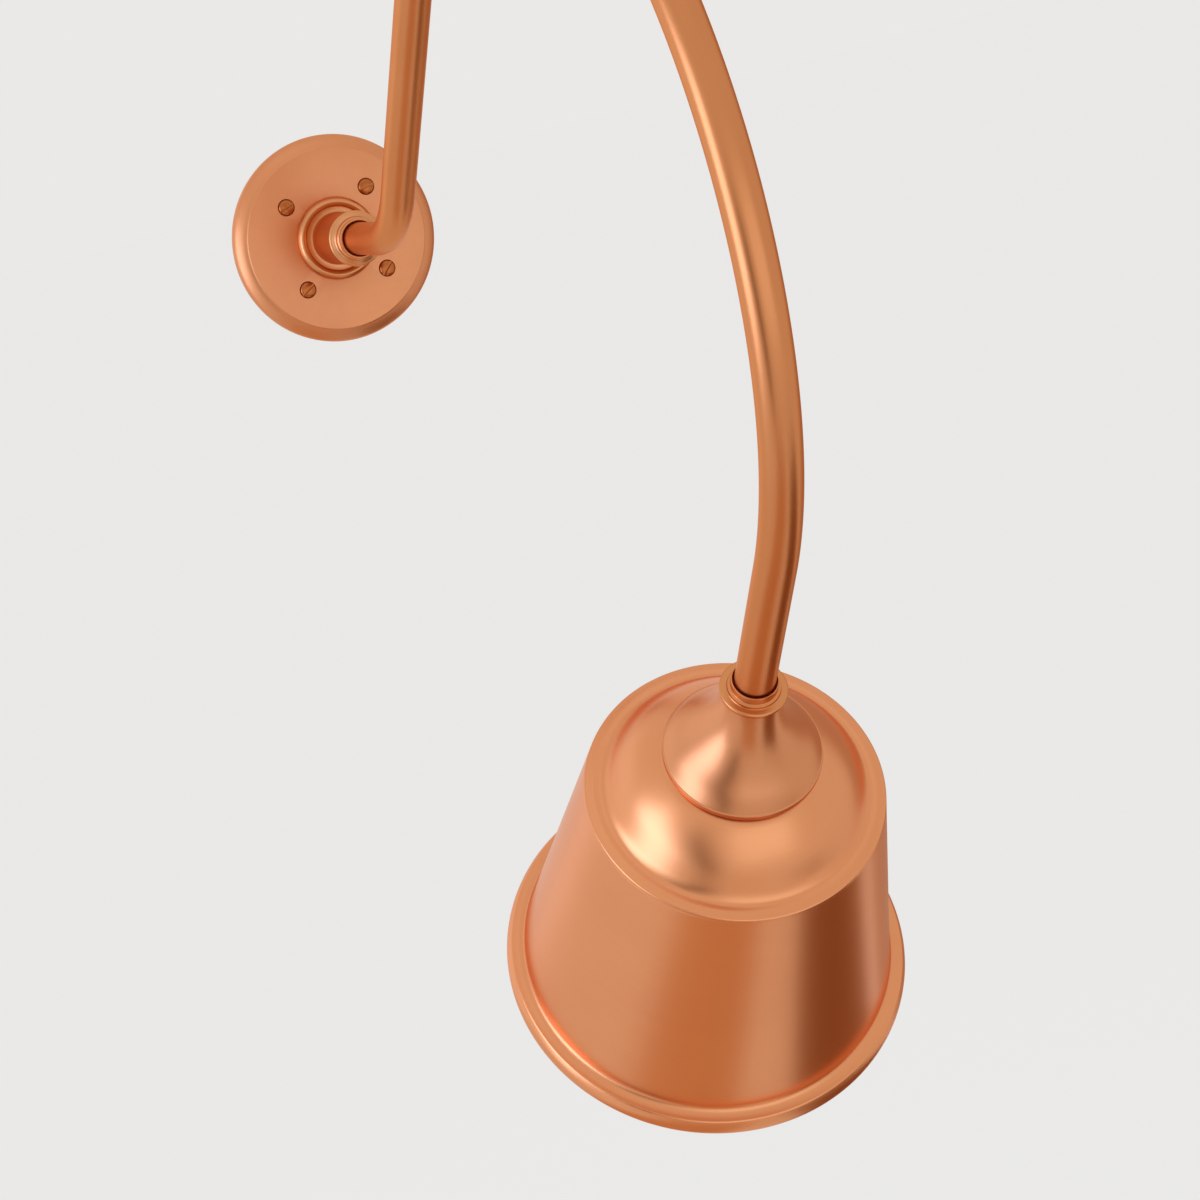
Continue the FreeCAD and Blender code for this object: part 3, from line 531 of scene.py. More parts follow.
def swept_tree():
    """A round tube along the object's own curve."""
    tree = new_tree("tube along a path", [
        ("Radius", "NodeSocketFloat", 0.01), ("Sides", "NodeSocketInt", 96),
        ("Material", "NodeSocketMaterial", None)])
    start = tree.nodes.new("NodeGroupInput")
    ring = tree_node(tree, "GeometryNodeCurvePrimitiveCircle",
                     links={"Resolution": start.outputs["Sides"], "Radius": start.outputs["Radius"]})
    tube = tree_node(tree, "GeometryNodeCurveToMesh",
                     links={"Curve": start.outputs["Geometry"], "Profile Curve": ring.outputs[0]})
    end_tree(tree, tube.outputs[0], start.outputs["Material"])
    return tree


def copies_tree():
    """Copies of one piece round a circle in the XY plane, each turned a further step about its own axis."""
    tree = new_tree("copies round a circle", [
        ("Piece", "NodeSocketObject", None), ("Count", "NodeSocketInt", 4),
        ("Circle Radius", "NodeSocketFloat", 0.03), ("First Angle", "NodeSocketFloat", 0.0),
        ("Own Turn", "NodeSocketFloat", 0.0), ("Own Turn Step", "NodeSocketFloat", 0.0),
        ("Face Out", "NodeSocketFloat", 0.0), ("Material", "NodeSocketMaterial", None)])
    start = tree.nodes.new("NodeGroupInput")
    index = tree.nodes.new("GeometryNodeInputIndex")

    def maths(operation, first, second):
        made = tree_node(tree, "ShaderNodeMath", {"operation": operation}, {0: first, 1: second})
        return made.outputs[0]

    places = tree_node(tree, "GeometryNodeMeshCircle", {"fill_type": "NONE"},
                       {"Vertices": start.outputs["Count"], "Radius": start.outputs["Circle Radius"]})
    first = tree_node(tree, "ShaderNodeCombineXYZ", links={"Z": start.outputs["First Angle"]})
    turned = tree_node(tree, "GeometryNodeTransform",
                       links={"Geometry": places.outputs[0], "Rotation": first.outputs[0]})
    share = maths("DIVIDE", 2 * math.pi, start.outputs["Count"])
    around = maths("ADD", maths("MULTIPLY", index.outputs[0], share), start.outputs["First Angle"])
    facing = maths("MULTIPLY", around, start.outputs["Face Out"])
    stepped = maths("MULTIPLY", index.outputs[0], start.outputs["Own Turn Step"])
    own = maths("ADD", stepped, start.outputs["Own Turn"])
    angle = tree_node(tree, "ShaderNodeCombineXYZ", links={"Z": maths("ADD", facing, own)})
    piece = tree_node(tree, "GeometryNodeObjectInfo", links={"Object": start.outputs["Piece"]})
    points = tree_node(tree, "GeometryNodeInstanceOnPoints", links={
        "Points": turned.outputs[0], "Instance": piece.outputs["Geometry"], "Rotation": angle.outputs[0]})
    end_tree(tree, points.outputs[0], start.outputs["Material"])
    return tree


TREES = {}


def run_tree(name, data, maker, values):
    """Runs a tree on a new object and returns the result as a plain piece."""
    if maker not in TREES:
        TREES[maker] = maker()
    tree = TREES[maker]
    host = bpy.data.objects.new(name, data)
    bpy.context.scene.collection.objects.link(host)
    modifier = host.modifiers.new("shape", "NODES")
    modifier.node_group = tree
    for item in tree.interface.items_tree:
        if item.in_out == "INPUT" and item.name in values:
            modifier[item.identifier] = values[item.name]
    return baked(host)


def copies_round(name, piece, place, slot, **values):
    """Copies of a piece round a circle, as one mesh in its place."""
    values["Piece"] = piece
    values["Material"] = finish_for(slot)
    made = run_tree(name, bpy.data.meshes.new(name), copies_tree, values)
    bpy.data.objects.remove(piece)
    made.data.transform(place)
    return made


def tube_along(name, points, radius, slot, sides):
    """An open tube along points in metres."""
    curve = bpy.data.curves.new(name, "CURVE")
    curve.dimensions = "3D"
    spline = curve.splines.new("POLY")
    spline.points.add(len(points) - 1)
    for point, place in zip(spline.points, points):
        point.co = (*place, 1.0)
    return run_tree(name, curve, swept_tree, {"Radius": radius, "Sides": sides, "Material": finish_for(slot)})


# ---- wall plate ----
FACE_THICKNESS = 2.6
GASKET_SEAT = 2.45
GASKET_OUTER = 59.45
GASKET_INNER = 51.55
HUB_SPIGOT = 14.0
PILLAR_RADIUS = 6.2
EARTH_PLACE = 36.0
EARTH_BOSS_RADIUS = 4.2
EARTH_HOLE_RADIUS = 2.05
EARTH_HOLE_DEPTH = 7.4
COUNTERSINK_MARGIN = 0.4
FIRST_SCREW_ANGLE = math.radians(45)
SLOT_TURN = math.radians(6)
SLOT_TURN_STEP = math.radians(13)


def plate_outline():
    top = sizes().plate_height / MM
    edge = sizes().plate_radius / MM
    face = 54.6
    under = top - FACE_THICKNESS
    return [
        (HUB_SPIGOT + 0.05, top), (face - 0.5, top), (face + 0.2, top - 0.5),
        [(face + (edge - face) * run, 3.2 + (top - 3.2) * height) for run, height in (
            (0.22, 0.83), (0.45, 0.68), (0.68, 0.49), (0.84, 0.32), (0.95, 0.14), (1.0, 0.0))],
        (edge, 0), (GASKET_OUTER, 0), (GASKET_OUTER, GASKET_SEAT), (GASKET_INNER, GASKET_SEAT),
        (GASKET_INNER, 0.6), (GASKET_INNER - 1.85, 0.6), (GASKET_INNER - 4.05, under),
        (HUB_SPIGOT + 0.05, under)]


def screw_angles():
    count = sizes().screw_count
    return [FIRST_SCREW_ANGLE + 2 * math.pi * i / count for i in range(count)]


def at_screws(outline, name):
    """A turned shape repeated at each plate screw."""
    radius = sizes().screw_circle
    pieces = []
    for a in screw_angles():
        place = Matrix.Translation((radius * math.cos(a), radius * math.sin(a), 0))
        pieces.append(turned_mesh(name, outline, place, 64, 0.0))
    return pieces


class SCONCE_OT_wall_plate(bpy.types.Operator):
    """Make the wall plate with its screw pillars and holes"""
    bl_idname = "sconce.wall_plate"
    bl_label = "Wall plate"

    def execute(self, context):
        top = sizes().plate_height / MM
        head = sizes().screw_head / MM + COUNTERSINK_MARGIN
        plate = turned_mesh("wall_plate", plate_outline(), Matrix.Identity(4))
        pillars = at_screws(cylinder_outline(PILLAR_RADIUS, 0.6, top - 0.5), "pillar")
        boss_place = Matrix.Translation((0, -EARTH_PLACE * MM, 0))
        boss = cylinder_outline(EARTH_BOSS_RADIUS, FACE_THICKNESS, top - 0.5)
        pillars.append(turned_mesh("boss", boss, boss_place, 48, 0.0))
        plate = carved(plate, pillars, "UNION")
        sink = [(0, -1), (2.45, -1), (2.45, top - 2.4), (head, top - 0.02), (head, top + 1), (0, top + 1)]
        holes = at_screws(sink, "sink")
        earth = cylinder_outline(EARTH_HOLE_RADIUS, 0, EARTH_HOLE_DEPTH)
        holes.append(turned_mesh("earth_hole", earth, boss_place, 32, 0.0))
        plate = carved(plate, holes)
        plate.data.transform(WALL_PLACE)
        dressed(plate, "wall_mount", "plate_copper", "backplate")
        return {"FINISHED"}


# ---- plate screws ----
def helix(name, radius, taper, pitch, low, high, depth, sides=40):
    """A raised thread between two heights; taper gives the share of the radius at the low end."""
    bm = bmesh.new()
    turns = (high - low) / pitch
    count = int(turns * sides)
    rows = []
    for i in range(count + 1):
        t = i / count
        a = 2 * math.pi * turns * t
        z = low + (high - low) * t
        point_share = min(1.0, taper + (1 - taper) * t * 4.0)
        fade = min(1.0, 6 * t, 6 * (1 - t))
        root = radius * point_share
        section = [(root - 0.25, z - pitch * 0.30), (root + depth * fade, z - pitch * 0.04),
                   (root + depth * fade, z + pitch * 0.04), (root - 0.25, z + pitch * 0.30)]
        rows.append([bm.verts.new((max(r, 0.02) * MM * math.cos(a), max(r, 0.02) * MM * math.sin(a), h * MM))
                     for r, h in section])
    for first, second in zip(rows[:-1], rows[1:]):
        for k in range(4):
            m = (k + 1) % 4
            bm.faces.new([first[k], first[m], second[m], second[k]])
    bm.faces.new(rows[0])
    bm.faces.new(rows[-1])
    return mesh_piece(name, bm)


def joined(name, pieces):
    """Several meshes as one piece."""
    bm = bmesh.new()
    for piece in pieces:
        bm.from_mesh(piece.data)
        bpy.data.objects.remove(piece)
    mesh = bpy.data.meshes.new(name)
    bm.to_mesh(mesh)
    bm.free()
    return shown(name, mesh)


def wood_screw():
    """One slotted raised-head screw at the origin, its slot along X."""
    top = sizes().plate_height / MM
    head = sizes().screw_head / MM
    rise = 1.9
    tip = -SCREW_TIP_DEPTH / MM
    outline = [
        (0, tip), (0.4, tip + 0.1), (1.75, tip + 6.0), (1.75, top - 6.0), (2.35, top - 5.0),
        (2.35, top - 2.38), (head, top + 0.02),
        [(head * 0.93, top + rise * 0.45), (head * 0.6, top + rise * 0.86), (0, top + rise)]]
    body = turned_mesh("screw_body", outline, Matrix.Identity(4), 96, 0.12, 0.35)
    slot = bmesh.new()
    bmesh.ops.create_cube(slot, size=1.0)
    depth = 1.7
    width = sizes().screw_slot
    slot.transform(Matrix.Translation((0, 0, (top + rise - depth + 1.0) * MM))
                   @ Matrix.Diagonal((3 * head * MM, width, 2.0 * MM, 1.0)))
    body = carved(body, [mesh_piece("slot", slot)])
    thread = helix("screw_thread", 1.75, 0.2, 2.4, tip + 0.6, top - 10.0, 0.6)
    return joined("screw", [body, thread])


class SCONCE_OT_plate_screws(bpy.types.Operator):
    """Make the slotted wood screws that hold the plate"""
    bl_idname = "sconce.plate_screws"
    bl_label = "Plate screws"

    def execute(self, context):
        screws = copies_round("wall_plate_screws", wood_screw(), WALL_PLACE, "screw_copper", **{
            "Count": sizes().screw_count, "Circle Radius": sizes().screw_circle,
            "First Angle": FIRST_SCREW_ANGLE, "Own Turn": SLOT_TURN, "Own Turn Step": SLOT_TURN_STEP})
        dressed(screws, "wall_mount", "screw_copper", "plate_screws")
        return {"FINISHED"}


# ---- hub ----
HUB_GRUB_RADIUS = 2.55
HUB_GRUB_HEIGHT = 49.0
HUB_GRUB_ANGLES = (-28.0, 28.0)


def hub_outline():
    base = sizes().plate_height / MM
    front = 58.2
    lip = front + 8.0
    ring, boss, flange, step, lip_r, gap = 24.6, 15.6, 16.4, 12.6, 11.7, 10.45
    bore = sizes().tube_radius / MM + 0.075
    return [
        (12.0, 1.2), (HUB_SPIGOT, 1.2), (HUB_SPIGOT, base), (ring - 0.7, base),
        [(ring, base + 1.2), (ring - 0.9, base + 3.4), (ring - 2.6, base + 4.8), (20.2, base + 4.1),
         (19.0, base + 2.4)],
        (boss, base + 2.3), (boss, front - 4.2), (flange - 0.4, front - 3.4),
        [(flange, front - 1.87), (flange - 0.35, front - 0.5), (flange - 1.5, front)],
        (step + 1.6, front + 0.5), [(step + 0.5, front + 1.2), (step, front + 3.0)],
        (step, lip - 4.0), (lip_r + 0.3, lip - 3.6), (lip_r, lip - 3.2), (lip_r, lip - 0.7),
        [(lip_r - 0.2, lip - 0.2), (lip_r - 0.6, lip)],
        (gap, lip), (gap, lip - 2.4), (bore, lip - 2.8), (bore, 37.0), (12.0, 37.0)]


def bored(piece, radius, height, angles, place):
    """Radial grub screw holes from the -Y side, each turned about the place's Z axis."""
    holes = []
    for angle in angles:
        sideways = (place @ Matrix.Rotation(math.radians(angle), 4, "Z")
                    @ Matrix.Translation((0, 0, height * MM)) @ Matrix.Rotation(math.radians(90), 4, "X"))
        holes.append(turned_mesh("grub_hole", cylinder_outline(radius, 6.0, 22.0), sideways, 40, 0.0))
    return carved(piece, holes)


class SCONCE_OT_hub(bpy.types.Operator):
    """Make the turned boss with its moulding ring and stepped collar"""
    bl_idname = "sconce.hub"
    bl_label = "Hub"

    def execute(self, context):
        hub = turned_mesh("wall_hub", hub_outline(), WALL_PLACE, 192)
        hub = bored(hub, HUB_GRUB_RADIUS, HUB_GRUB_HEIGHT, HUB_GRUB_ANGLES, WALL_PLACE)
        dressed(hub, "wall_mount", "hub_copper", "hub")
        return {"FINISHED"}


# ---- arm ----
STUB_REACH = 146.0
FIRST_BEND = 120.0
LEG_LEAN = 52.3
LEG_LENGTH = 290.4
CROOK_RADIUS = 210.6
DROP_LENGTH = 91.8
TUBE_START = 31.0


def arm_path(start, end_past_flange):
    """Points along the arm's centre line in metres, from a distance off the wall to a depth in the lamp."""
    rise = 90.0 - LEG_LEAN
    tangent = FIRST_BEND * math.tan(math.radians(rise / 2))
    turn = rise + 90.0 + math.degrees(LAMP_LEAN)
    legs = [(STUB_REACH - tangent - start, None, 0), (0, FIRST_BEND, rise), (LEG_LENGTH - tangent, None, 0),
            (0, CROOK_RADIUS, -turn), (DROP_LENGTH + end_past_flange, None, 0)]
    place, theta = np.array([-start, 0.0]), 0.0
    points = [place]
    for run, radius, bend in legs:
        if radius is None:
            way = np.array([-math.cos(math.radians(theta)), math.sin(math.radians(theta))])
            place = place + way * run
            points.append(place)
            continue
        sign = math.copysign(1.0, bend)
        side = np.array([math.sin(math.radians(theta)), math.cos(math.radians(theta))])
        centre = place + side * radius * sign
        steps = int(abs(bend) / 1.25)
        for k in range(1, steps + 1):
            t = math.radians(theta + bend * k / steps)
            points.append(centre - np.array([math.sin(t), math.cos(t)]) * radius * sign)
        place, theta = points[-1], theta + bend
    return [(0.0, y * MM, z * MM) for y, z in points]


class SCONCE_OT_arm(bpy.types.Operator):
    """Make the bent tube of the arm"""
    bl_idname = "sconce.arm"
    bl_label = "Arm"

    def execute(self, context):
        skin = tube_along("gooseneck_tube", arm_path(TUBE_START, 5.0), sizes().tube_radius, "arm_copper", 96)
        wall = skin.modifiers.new("wall", "SOLIDIFY")
        wall.thickness = sizes().tube_wall
        wall.offset = -1.0
        tube = baked(skin)
        dressed(tube, "arm", "arm_copper", "arm_tube")
        return {"FINISHED"}


# ---- collar, holder and shade ----
COLLAR_GRUB_RADIUS = 1.55
COLLAR_GRUB_HEIGHT = 2.6
COLLAR_GRUB_ANGLES = (150.0, 210.0)


def collar_outline():
    bore = sizes().tube_radius / MM + 0.05
    lip, lip_r, step, flange, gap = 6.2, 10.95, 12.3, 15.75, 10.45
    return [
        (bore, -6.0), (bore, lip - 2.8), (gap, lip - 2.4), (gap - 0.1, lip - 0.3), (gap, lip),
        [(lip_r - 0.12, lip - 0.15), (lip_r, lip - 0.6)], (lip_r, 1.9), (step - 0.5, 1.7),
        [(step - 0.1, 1.5), (step, 1.0)], (step, 0.35), [(step + 0.25, 0.05), (step + 0.6, 0)],
        (flange - 0.9, 0), [(flange - 0.2, -0.35), (flange, -1.3), (flange - 0.3, -2.4)],
        (flange - 0.8, -2.6),
        (11.4, -2.6), (11.4, -12.5), (5.0, -12.5), (5.0, -6.0)]


def trumpet_outline():
    lip, low, corner = 37.5, 54.5, 51.1
    outer = [(13.0, 2.8), (13.4, 8.0), (14.9, 15.0), (18.0, 23.5), (22.8, 32.0), (28.2, 39.5), (33.2, 45.6),
             (lip - 0.7, corner)]
    inner = [(r - 1.495, d) for r, d in outer[1:-1]]
    return below([
        outer[0], outer[1:], (lip - 0.1, corner + 0.15), (lip, corner + 0.4), (lip, low - 0.5),
        (lip - 0.5, low), (lip - 1.3, low), (lip - 1.3, corner + 1.0),
        (inner[-1][0] + 1.2, inner[-1][1] + 2.0),
        inner[::-1][:-1] + [(11.85, 14.1)], (11.45, 13.5), (11.45, 2.8)])


def shade_outline():
    rim = sizes().rim_radius / MM
    top, wall = 56.2, 1.0
    groove, shoulder, ridge = (62.9, 87.2), (67.6, 85.7), (71.6, 87.2)
    skirt, corner = (92.4, 232.6), (99.2, 236.9)
    low = 247.0
    slope = (skirt[0] - ridge[0]) / (skirt[1] - ridge[1])
    return below([
        (20.6, top), (31.5, top),
        [(35.4, top + 0.3), (41.0, top + 3.4), (48.0, top + 9.4), (54.4, top + 16.9), (58.8, top + 23.8),
         (groove[0] - 1.2, groove[1] - 3.3), (groove[0] + 1.2, groove[1] - 1.7), shoulder,
         (ridge[0] - 1.7, ridge[1] - 0.8), (ridge[0] - 0.5, ridge[1] - 0.5), (ridge[0], ridge[1] + 0.1),
         (ridge[0] - 0.1, ridge[1] + 0.8)],
        (ridge[0] + slope * 1.6, ridge[1] + 1.6), skirt,
        [(skirt[0] + 0.9, skirt[1] + 2.3), (skirt[0] + 3.2, corner[1] - 0.55), corner],
        (corner[0] + 0.5, corner[1] + 0.5),
        [(rim - 0.6, corner[1] + 3.0), (rim, corner[1] + 6.0), (rim - 0.6, low - 1.1),
         (rim - 2.4, low)],
        (rim - 4.4, low - 1.2), (rim - 4.0, low - 2.0), (rim - 2.4, low - 1.2),
        [(rim - 1.6, low - 2.2), (rim - 1.1, corner[1] + 6.0), (rim - 1.8, corner[1] + 3.0),
         (corner[0] - 0.4, corner[1] + 1.2)],
        (corner[0] - 0.6, corner[1] + 1.05),
        [(skirt[0] + 2.9, corner[1] + 0.4), (skirt[0], skirt[1] + 2.8), (skirt[0] - wall, skirt[1])],
        (ridge[0] - wall - 0.1 - slope, ridge[1] + wall),
        [(ridge[0] - 1.8, ridge[1] + 0.1), (shoulder[0], shoulder[1] + wall),
         (shoulder[0] - 1.2, shoulder[1] + wall + 0.15), (groove[0] + 1.8, groove[1] + wall - 0.4),
         (groove[0], groove[1] + wall), (groove[0] - 1.4, groove[1] + 0.4), (60.4, top + 29.8),
         (58.0, top + 24.9), (53.6, top + 17.6), (47.3, top + 10.1), (40.4, top + 4.3),
         (34.8, top + 1.2), (31.0, top + wall)],
        (20.6, top + wall)])


class SCONCE_OT_collar(bpy.types.Operator):
    """Make the stepped collar on the lower end of the tube"""
    bl_idname = "sconce.collar"
    bl_label = "Lower collar"

    def execute(self, context):
        collar = turned_mesh("lower_collar", collar_outline(), LAMP_PLACE, 192)
        collar = bored(collar, COLLAR_GRUB_RADIUS, COLLAR_GRUB_HEIGHT, COLLAR_GRUB_ANGLES, LAMP_PLACE)
        dressed(collar, "arm", "hub_copper", "shade_collar", finish=finish_for("collar_copper"))
        return {"FINISHED"}


class SCONCE_OT_holder(bpy.types.Operator):
    """Make the trumpet that carries the shade"""
    bl_idname = "sconce.holder"
    bl_label = "Trumpet holder"

    def execute(self, context):
        trumpet = turned_mesh("trumpet_holder", trumpet_outline(), LAMP_PLACE, 256, 0.12)
        dressed(trumpet, "arm", "holder_copper", "shade_holder")
        return {"FINISHED"}


class SCONCE_OT_shade(bpy.types.Operator):
    """Make the spun shade"""
    bl_idname = "sconce.shade"
    bl_label = "Shade"

    def execute(self, context):
        shade = turned_mesh("spun_shade", shade_outline(), LAMP_PLACE, 320)
        dressed(shade, "arm", "shade_copper", "shade")
        return {"FINISHED"}


# ---- lamp holder and bulb ----
CAP_PITCH = 3.63
STRIP_COUNT = 4
STRIP_CIRCLE = 9.1 * MM
STRIP_DEPTH = 92.0 * MM


def rolled_thread(name, radius, wall, low, high, relief, place):
    """A thin sleeve with a rolled round thread, closed at its two edges. Depths below the flange."""
    around, rows = 96, int((high - low) / 0.3)
    bm = bmesh.new()
    skins = []
    for inset in (0.0, wall):
        skin = []
        for i in range(rows + 1):
            d = low + (high - low) * i / rows
            fade = min(1.0, (d - low) / 1.5, (high - d) / 1.5)
            ring = []
            for k in range(around):
                a = 2 * math.pi * k / around
                wave = math.cos(2 * math.pi * d / CAP_PITCH + a) * 0.5 - 0.5
                r = (radius - inset + relief * wave * max(0.0, fade)) * MM
                ring.append(bm.verts.new((r * math.cos(a), r * math.sin(a), -d * MM)))
            skin.append(ring)
        skins.append(skin)
    outer, inner = skins
    for skin in skins:
        for first, second in zip(skin[:-1], skin[1:]):
            for k in range(around):
                m = (k + 1) % around
                bm.faces.new([first[k], first[m], second[m], second[k]])
    for row in (0, -1):
        for k in range(around):
            m = (k + 1) % around
            bm.faces.new([outer[row][k], outer[row][m], inner[row][m], inner[row][k]])
    return mesh_piece(name, bm, place, 50.0)


class SCONCE_OT_lamp_holder(bpy.types.Operator):
    """Make the threaded shell of the ceramic lamp holder"""
    bl_idname = "sconce.lamp_holder"
    bl_label = "Lamp holder"

    def execute(self, context):
        sleeve = rolled_thread("shell_sleeve", 13.75, 0.4, 46.3, 73.0, 0.5, LAMP_PLACE)
        floor = turned_mesh("shell_floor", below([(6.0, 46.0), (13.3, 46.0), (13.3, 46.45), (6.0, 46.45)]),
                            LAMP_PLACE, 96, 0.05)
        shell = joined("threaded_shell", [sleeve, floor])
        dressed(shell, "arm", "shell_brass", "screw_shell")
        return {"FINISHED"}


def bulb_outline():
    neck, wide, mid, low, wall = 12.5, 30.0, 128.0, 158.0, 0.8
    return below([
        (neck, 57.0), (neck, 74.5),
        [(neck + 0.3, 78.5), (neck + 3.6, mid - 36.0), (neck + 10.2, mid - 20.0),
         (wide - 1.3, mid - 8.0), (wide, mid), (wide - 2.2, mid + 11.0), (wide - 9.4, mid + 21.6),
         (wide - 18.0, low - 2.3), (0, low)],
        (0, low - wall),
        [(wide - 18.2, low - 2.3 - wall), (wide - 9.9, mid + 21.0), (wide - 3.0, mid + 10.7),
         (wide - wall, mid), (wide - 2.0, mid - 7.6), (neck + 9.5, mid - 19.5), (neck + 2.8, mid - 35.8),
         (neck - wall + 0.3, 78.7),
         (neck - wall, 74.5)],
        (neck - wall, 57.0)])


def light_strip():
    """One light strip, upright at the origin."""
    outline = [(0, -34.6), (0.95, -34.4), (1.05, -33.0), (1.05, -1.4), (0.95, 0.0), (0, 0.2)]
    return turned_mesh("strip", outline, Matrix.Identity(4), 20, 0.2)


class SCONCE_OT_bulb(bpy.types.Operator):
    """Make the bulb: glass, threaded cap and light strips"""
    bl_idname = "sconce.bulb"
    bl_label = "Bulb"

    def execute(self, context):
        glass = turned_mesh("bulb_envelope", bulb_outline(), LAMP_PLACE, 128, 0.0, 0.8)
        dressed(glass, "lamp", "bulb_glass", "bulb_glass")
        sleeve = rolled_thread("cap_sleeve", 12.95, 0.35, 53.0, 74.5, 0.5, LAMP_PLACE)
        crown_outline = below([
            (12.95, 53.0), (11.55, 51.6), (9.0, 51.2), (9.0, 51.6), (11.35, 52.0), (12.6, 53.2)])
        crown = turned_mesh("cap_crown", crown_outline, LAMP_PLACE, 96, 0.1)
        cap = joined("threaded_cap", [sleeve, crown])
        dressed(cap, "lamp", "cap_alloy", "bulb_cap")
        place = LAMP_PLACE @ Matrix.Translation((0, 0, -STRIP_DEPTH))
        strips = copies_round("light_strips", light_strip(), place, "filament_yellow", **{
            "Count": STRIP_COUNT, "Circle Radius": STRIP_CIRCLE, "First Angle": math.pi / STRIP_COUNT,
            "Face Out": 1.0})
        dressed(strips, "lamp", "filament_yellow")
        return {"FINISHED"}


# ---- the solids that stay ----
class SCONCE_OT_fixings(bpy.types.Operator):
    """Give every solid that is still shown its finish"""
    bl_idname = "sconce.fixings"
    bl_label = "Fixings and wiring"

    def execute(self, context):
        slots = {s["node"]: s["material_slot"] for s in frame["record"]["subparts"]}
        for node, solid in frame["nodes"].items():
            solid.data.materials.clear()
            solid.data.materials.append(finish_for(slots[node]))
        return {"FINISHED"}


# ---- studio ----
PHOTO_SIZE = 1200
FOCAL_PIXELS = 3386.0
CAMERA_PLACE = Vector((-0.46434, -1.99699, 0.13052))
CAMERA_RIGHT = Vector((0.91960831, -0.3099533, -0.24134936))
CAMERA_UP = Vector((0.28538791, 0.10493016, 0.95265072))
SENSOR = 36.0


def make_camera():
    data = bpy.data.cameras.new("camera")
    data.sensor_width = SENSOR
    data.lens = SENSOR * FOCAL_PIXELS / PHOTO_SIZE
    camera = bpy.data.objects.new("camera", data)
    back = CAMERA_RIGHT.cross(CAMERA_UP)
    turn = Matrix((CAMERA_RIGHT, CAMERA_UP, back)).transposed()
    camera.matrix_world = Matrix.Translation(CAMERA_PLACE) @ turn.to_4x4()
    bpy.context.scene.collection.objects.link(camera)
    bpy.context.scene.camera = camera


def make_world():
    world = bpy.data.worlds.new("studio")
    world.use_nodes = True
    tree = world.node_tree
    tree.nodes.clear()
    lit = tree.nodes.new("ShaderNodeBackground")
    lit.inputs[0].default_value = (*colours().backdrop, 1.0)
    out = tree.nodes.new("ShaderNodeOutputWorld")
    tree.links.new(lit.outputs[0], out.inputs[0])
    bpy.context.scene.world = world


FLOOR_LEVEL = -1.5
FLOOR_GLOW = 0.7


def make_floor():
    bm = bmesh.new()
    bmesh.ops.create_grid(bm, x_segments=1, y_segments=1, size=30.0)
    floor = mesh_piece("floor", bm, Matrix.Translation((0, 0, FLOOR_LEVEL)))
    finish = Finish("pale floor", roughness=0.9)
    finish.set("Base Color", (0.98, 0.98, 0.98))
    glow = finish.node("ShaderNodeEmission", None, {0: tuple(colours().backdrop)})
    finish.show(("Is Camera Ray", "Is Glossy Ray", "Is Transmission Ray"),
                Wire(finish, finish.shader.outputs[0]), glow, FLOOR_GLOW)
    floor.data.materials.append(finish.material)


STUDIO_MIDDLE = Vector((0.0, -0.5, -0.25))


def studio_place(azimuth, elevation, distance):
    """A place round the object that faces it. Azimuth goes from the room side towards +X, in degrees."""
    a, e = math.radians(azimuth), math.radians(elevation)
    way = Vector((math.sin(a) * math.cos(e), -math.cos(a) * math.cos(e), math.sin(e)))
    facing = way.to_track_quat("Z", "Y").to_matrix().to_4x4()
    return Matrix.Translation(STUDIO_MIDDLE + way * distance) @ facing


def soft_light(name, place, width, height, radiance, tint):
    data = bpy.data.lights.new(name, "AREA")
    data.shape = "RECTANGLE"
    data.size = width
    data.size_y = height
    data.energy = radiance * 4.0 * width * height
    data.color = tint
    lamp = bpy.data.objects.new(name, data)
    lamp.matrix_world = place
    bpy.context.scene.collection.objects.link(lamp)


def mirror_card(name, place, width, height, shade):
    """A card that only mirrors see, for the darker bands in the copper."""
    bm = bmesh.new()
    bmesh.ops.create_grid(bm, x_segments=1, y_segments=1, size=0.5)
    card = mesh_piece(name, bm, place @ Matrix.Diagonal((width, height, 1, 1)))
    finish = Finish(name)
    clear = finish.node("ShaderNodeBsdfTransparent")
    finish.show(("Is Glossy Ray",), clear, finish.node("ShaderNodeEmission", None, {0: shade}))
    card.data.materials.append(finish.material)


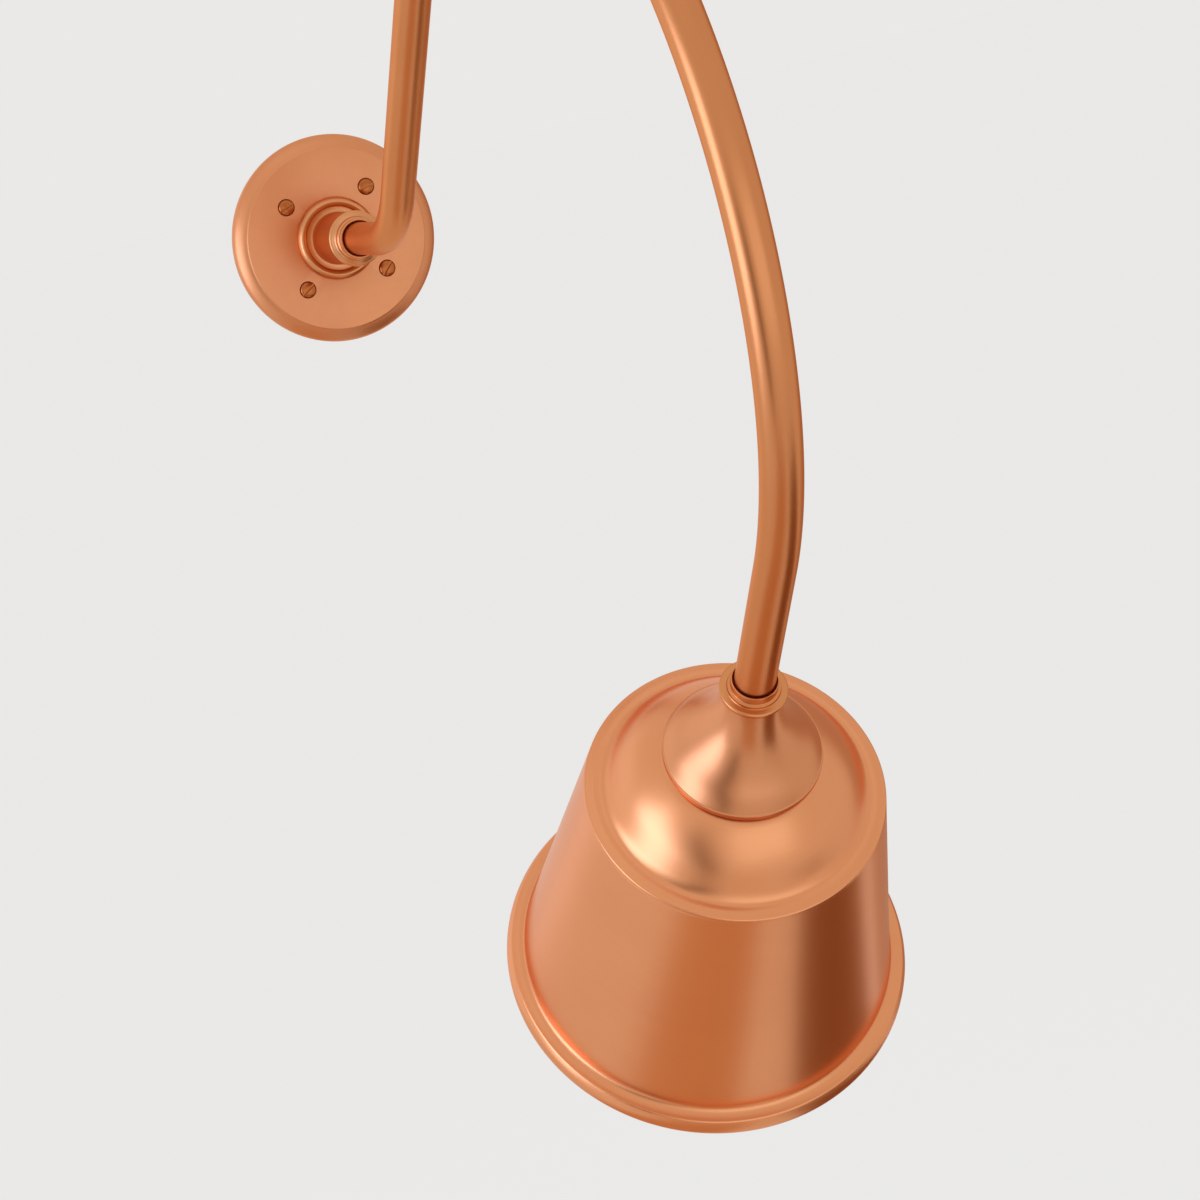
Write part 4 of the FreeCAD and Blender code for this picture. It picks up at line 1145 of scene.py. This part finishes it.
class SCONCE_OT_studio(bpy.types.Operator):
    """Set the camera, the floor, the lights and the background"""
    bl_idname = "sconce.studio"
    bl_label = "Studio"

    def execute(self, context):
        make_camera()
        make_world()
        make_floor()
        cool = (0.76, 1.0, 1.30)
        soft_light("left softbox", studio_place(-84, 6, 1.9), 1.05, 1.4, 1.75, (0.8, 1.1, 1.7))
        soft_light("rear left softbox", studio_place(-140, 15, 2.0), 1.6, 1.8, 0.2, cool)
        soft_light("front softbox", studio_place(3, -9, 2.75), 2.6, 1.6, 0.4, cool)
        soft_light("top softbox", studio_place(-10, 70, 2.0), 1.6, 1.2, 0.15, cool)
        mirror_card("front left card", studio_place(-46, -12, 1.5), 0.42, 1.1, (0.14, 0.09, 0.07))
        low = Matrix.Translation((0, -0.45, -1.25))
        mirror_card("low left card", low @ Matrix.Translation((-0.43, 0, 0)), 0.75, 1.8, (0.66, 0.44, 0.28))
        mirror_card("low right card", low @ Matrix.Translation((0.66, 0.05, 0)), 0.72, 1.6,
                    (0.25, 0.115, 0.05))
        mirror_card("right card", studio_place(128, -3, 1.7), 1.5, 1.9, (0.50, 0.36, 0.26))
        view = bpy.context.scene.view_settings
        view.view_transform = "Standard"
        return {"FINISHED"}


# ---- the add-on ----
OPERATORS = (
    SCONCE_OT_studio, SCONCE_OT_fixings, SCONCE_OT_wall_plate, SCONCE_OT_plate_screws, SCONCE_OT_hub,
    SCONCE_OT_arm, SCONCE_OT_collar, SCONCE_OT_holder, SCONCE_OT_shade, SCONCE_OT_lamp_holder, SCONCE_OT_bulb,
)


class SCONCE_PT_panel(bpy.types.Panel):
    """Sizes, colours and pieces of the wall light"""
    bl_idname = "SCONCE_PT_panel"
    bl_label = "Gooseneck sconce"
    bl_space_type = "VIEW_3D"
    bl_region_type = "UI"
    bl_category = "Sconce"

    def draw(self, context):
        for group in (context.scene.sconce_sizes, context.scene.sconce_colours):
            box = self.layout.box()
            for name in group.__annotations__:
                box.prop(group, name)
        for operator in OPERATORS:
            self.layout.operator(operator.bl_idname)


CLASSES = (SconceSizes, SconceColours, *OPERATORS, SCONCE_PT_panel)


def register():
    for cls in CLASSES:
        bpy.utils.register_class(cls)
    bpy.types.Scene.sconce_sizes = PointerProperty(type=SconceSizes)
    bpy.types.Scene.sconce_colours = PointerProperty(type=SconceColours)


def unregister():
    del bpy.types.Scene.sconce_colours
    del bpy.types.Scene.sconce_sizes
    for cls in reversed(CLASSES):
        bpy.utils.unregister_class(cls)


def main():
    register()
    for operator in OPERATORS:
        section, name = operator.bl_idname.split(".")
        getattr(getattr(bpy.ops, section), name)()


if __name__ == "__main__":
    main()
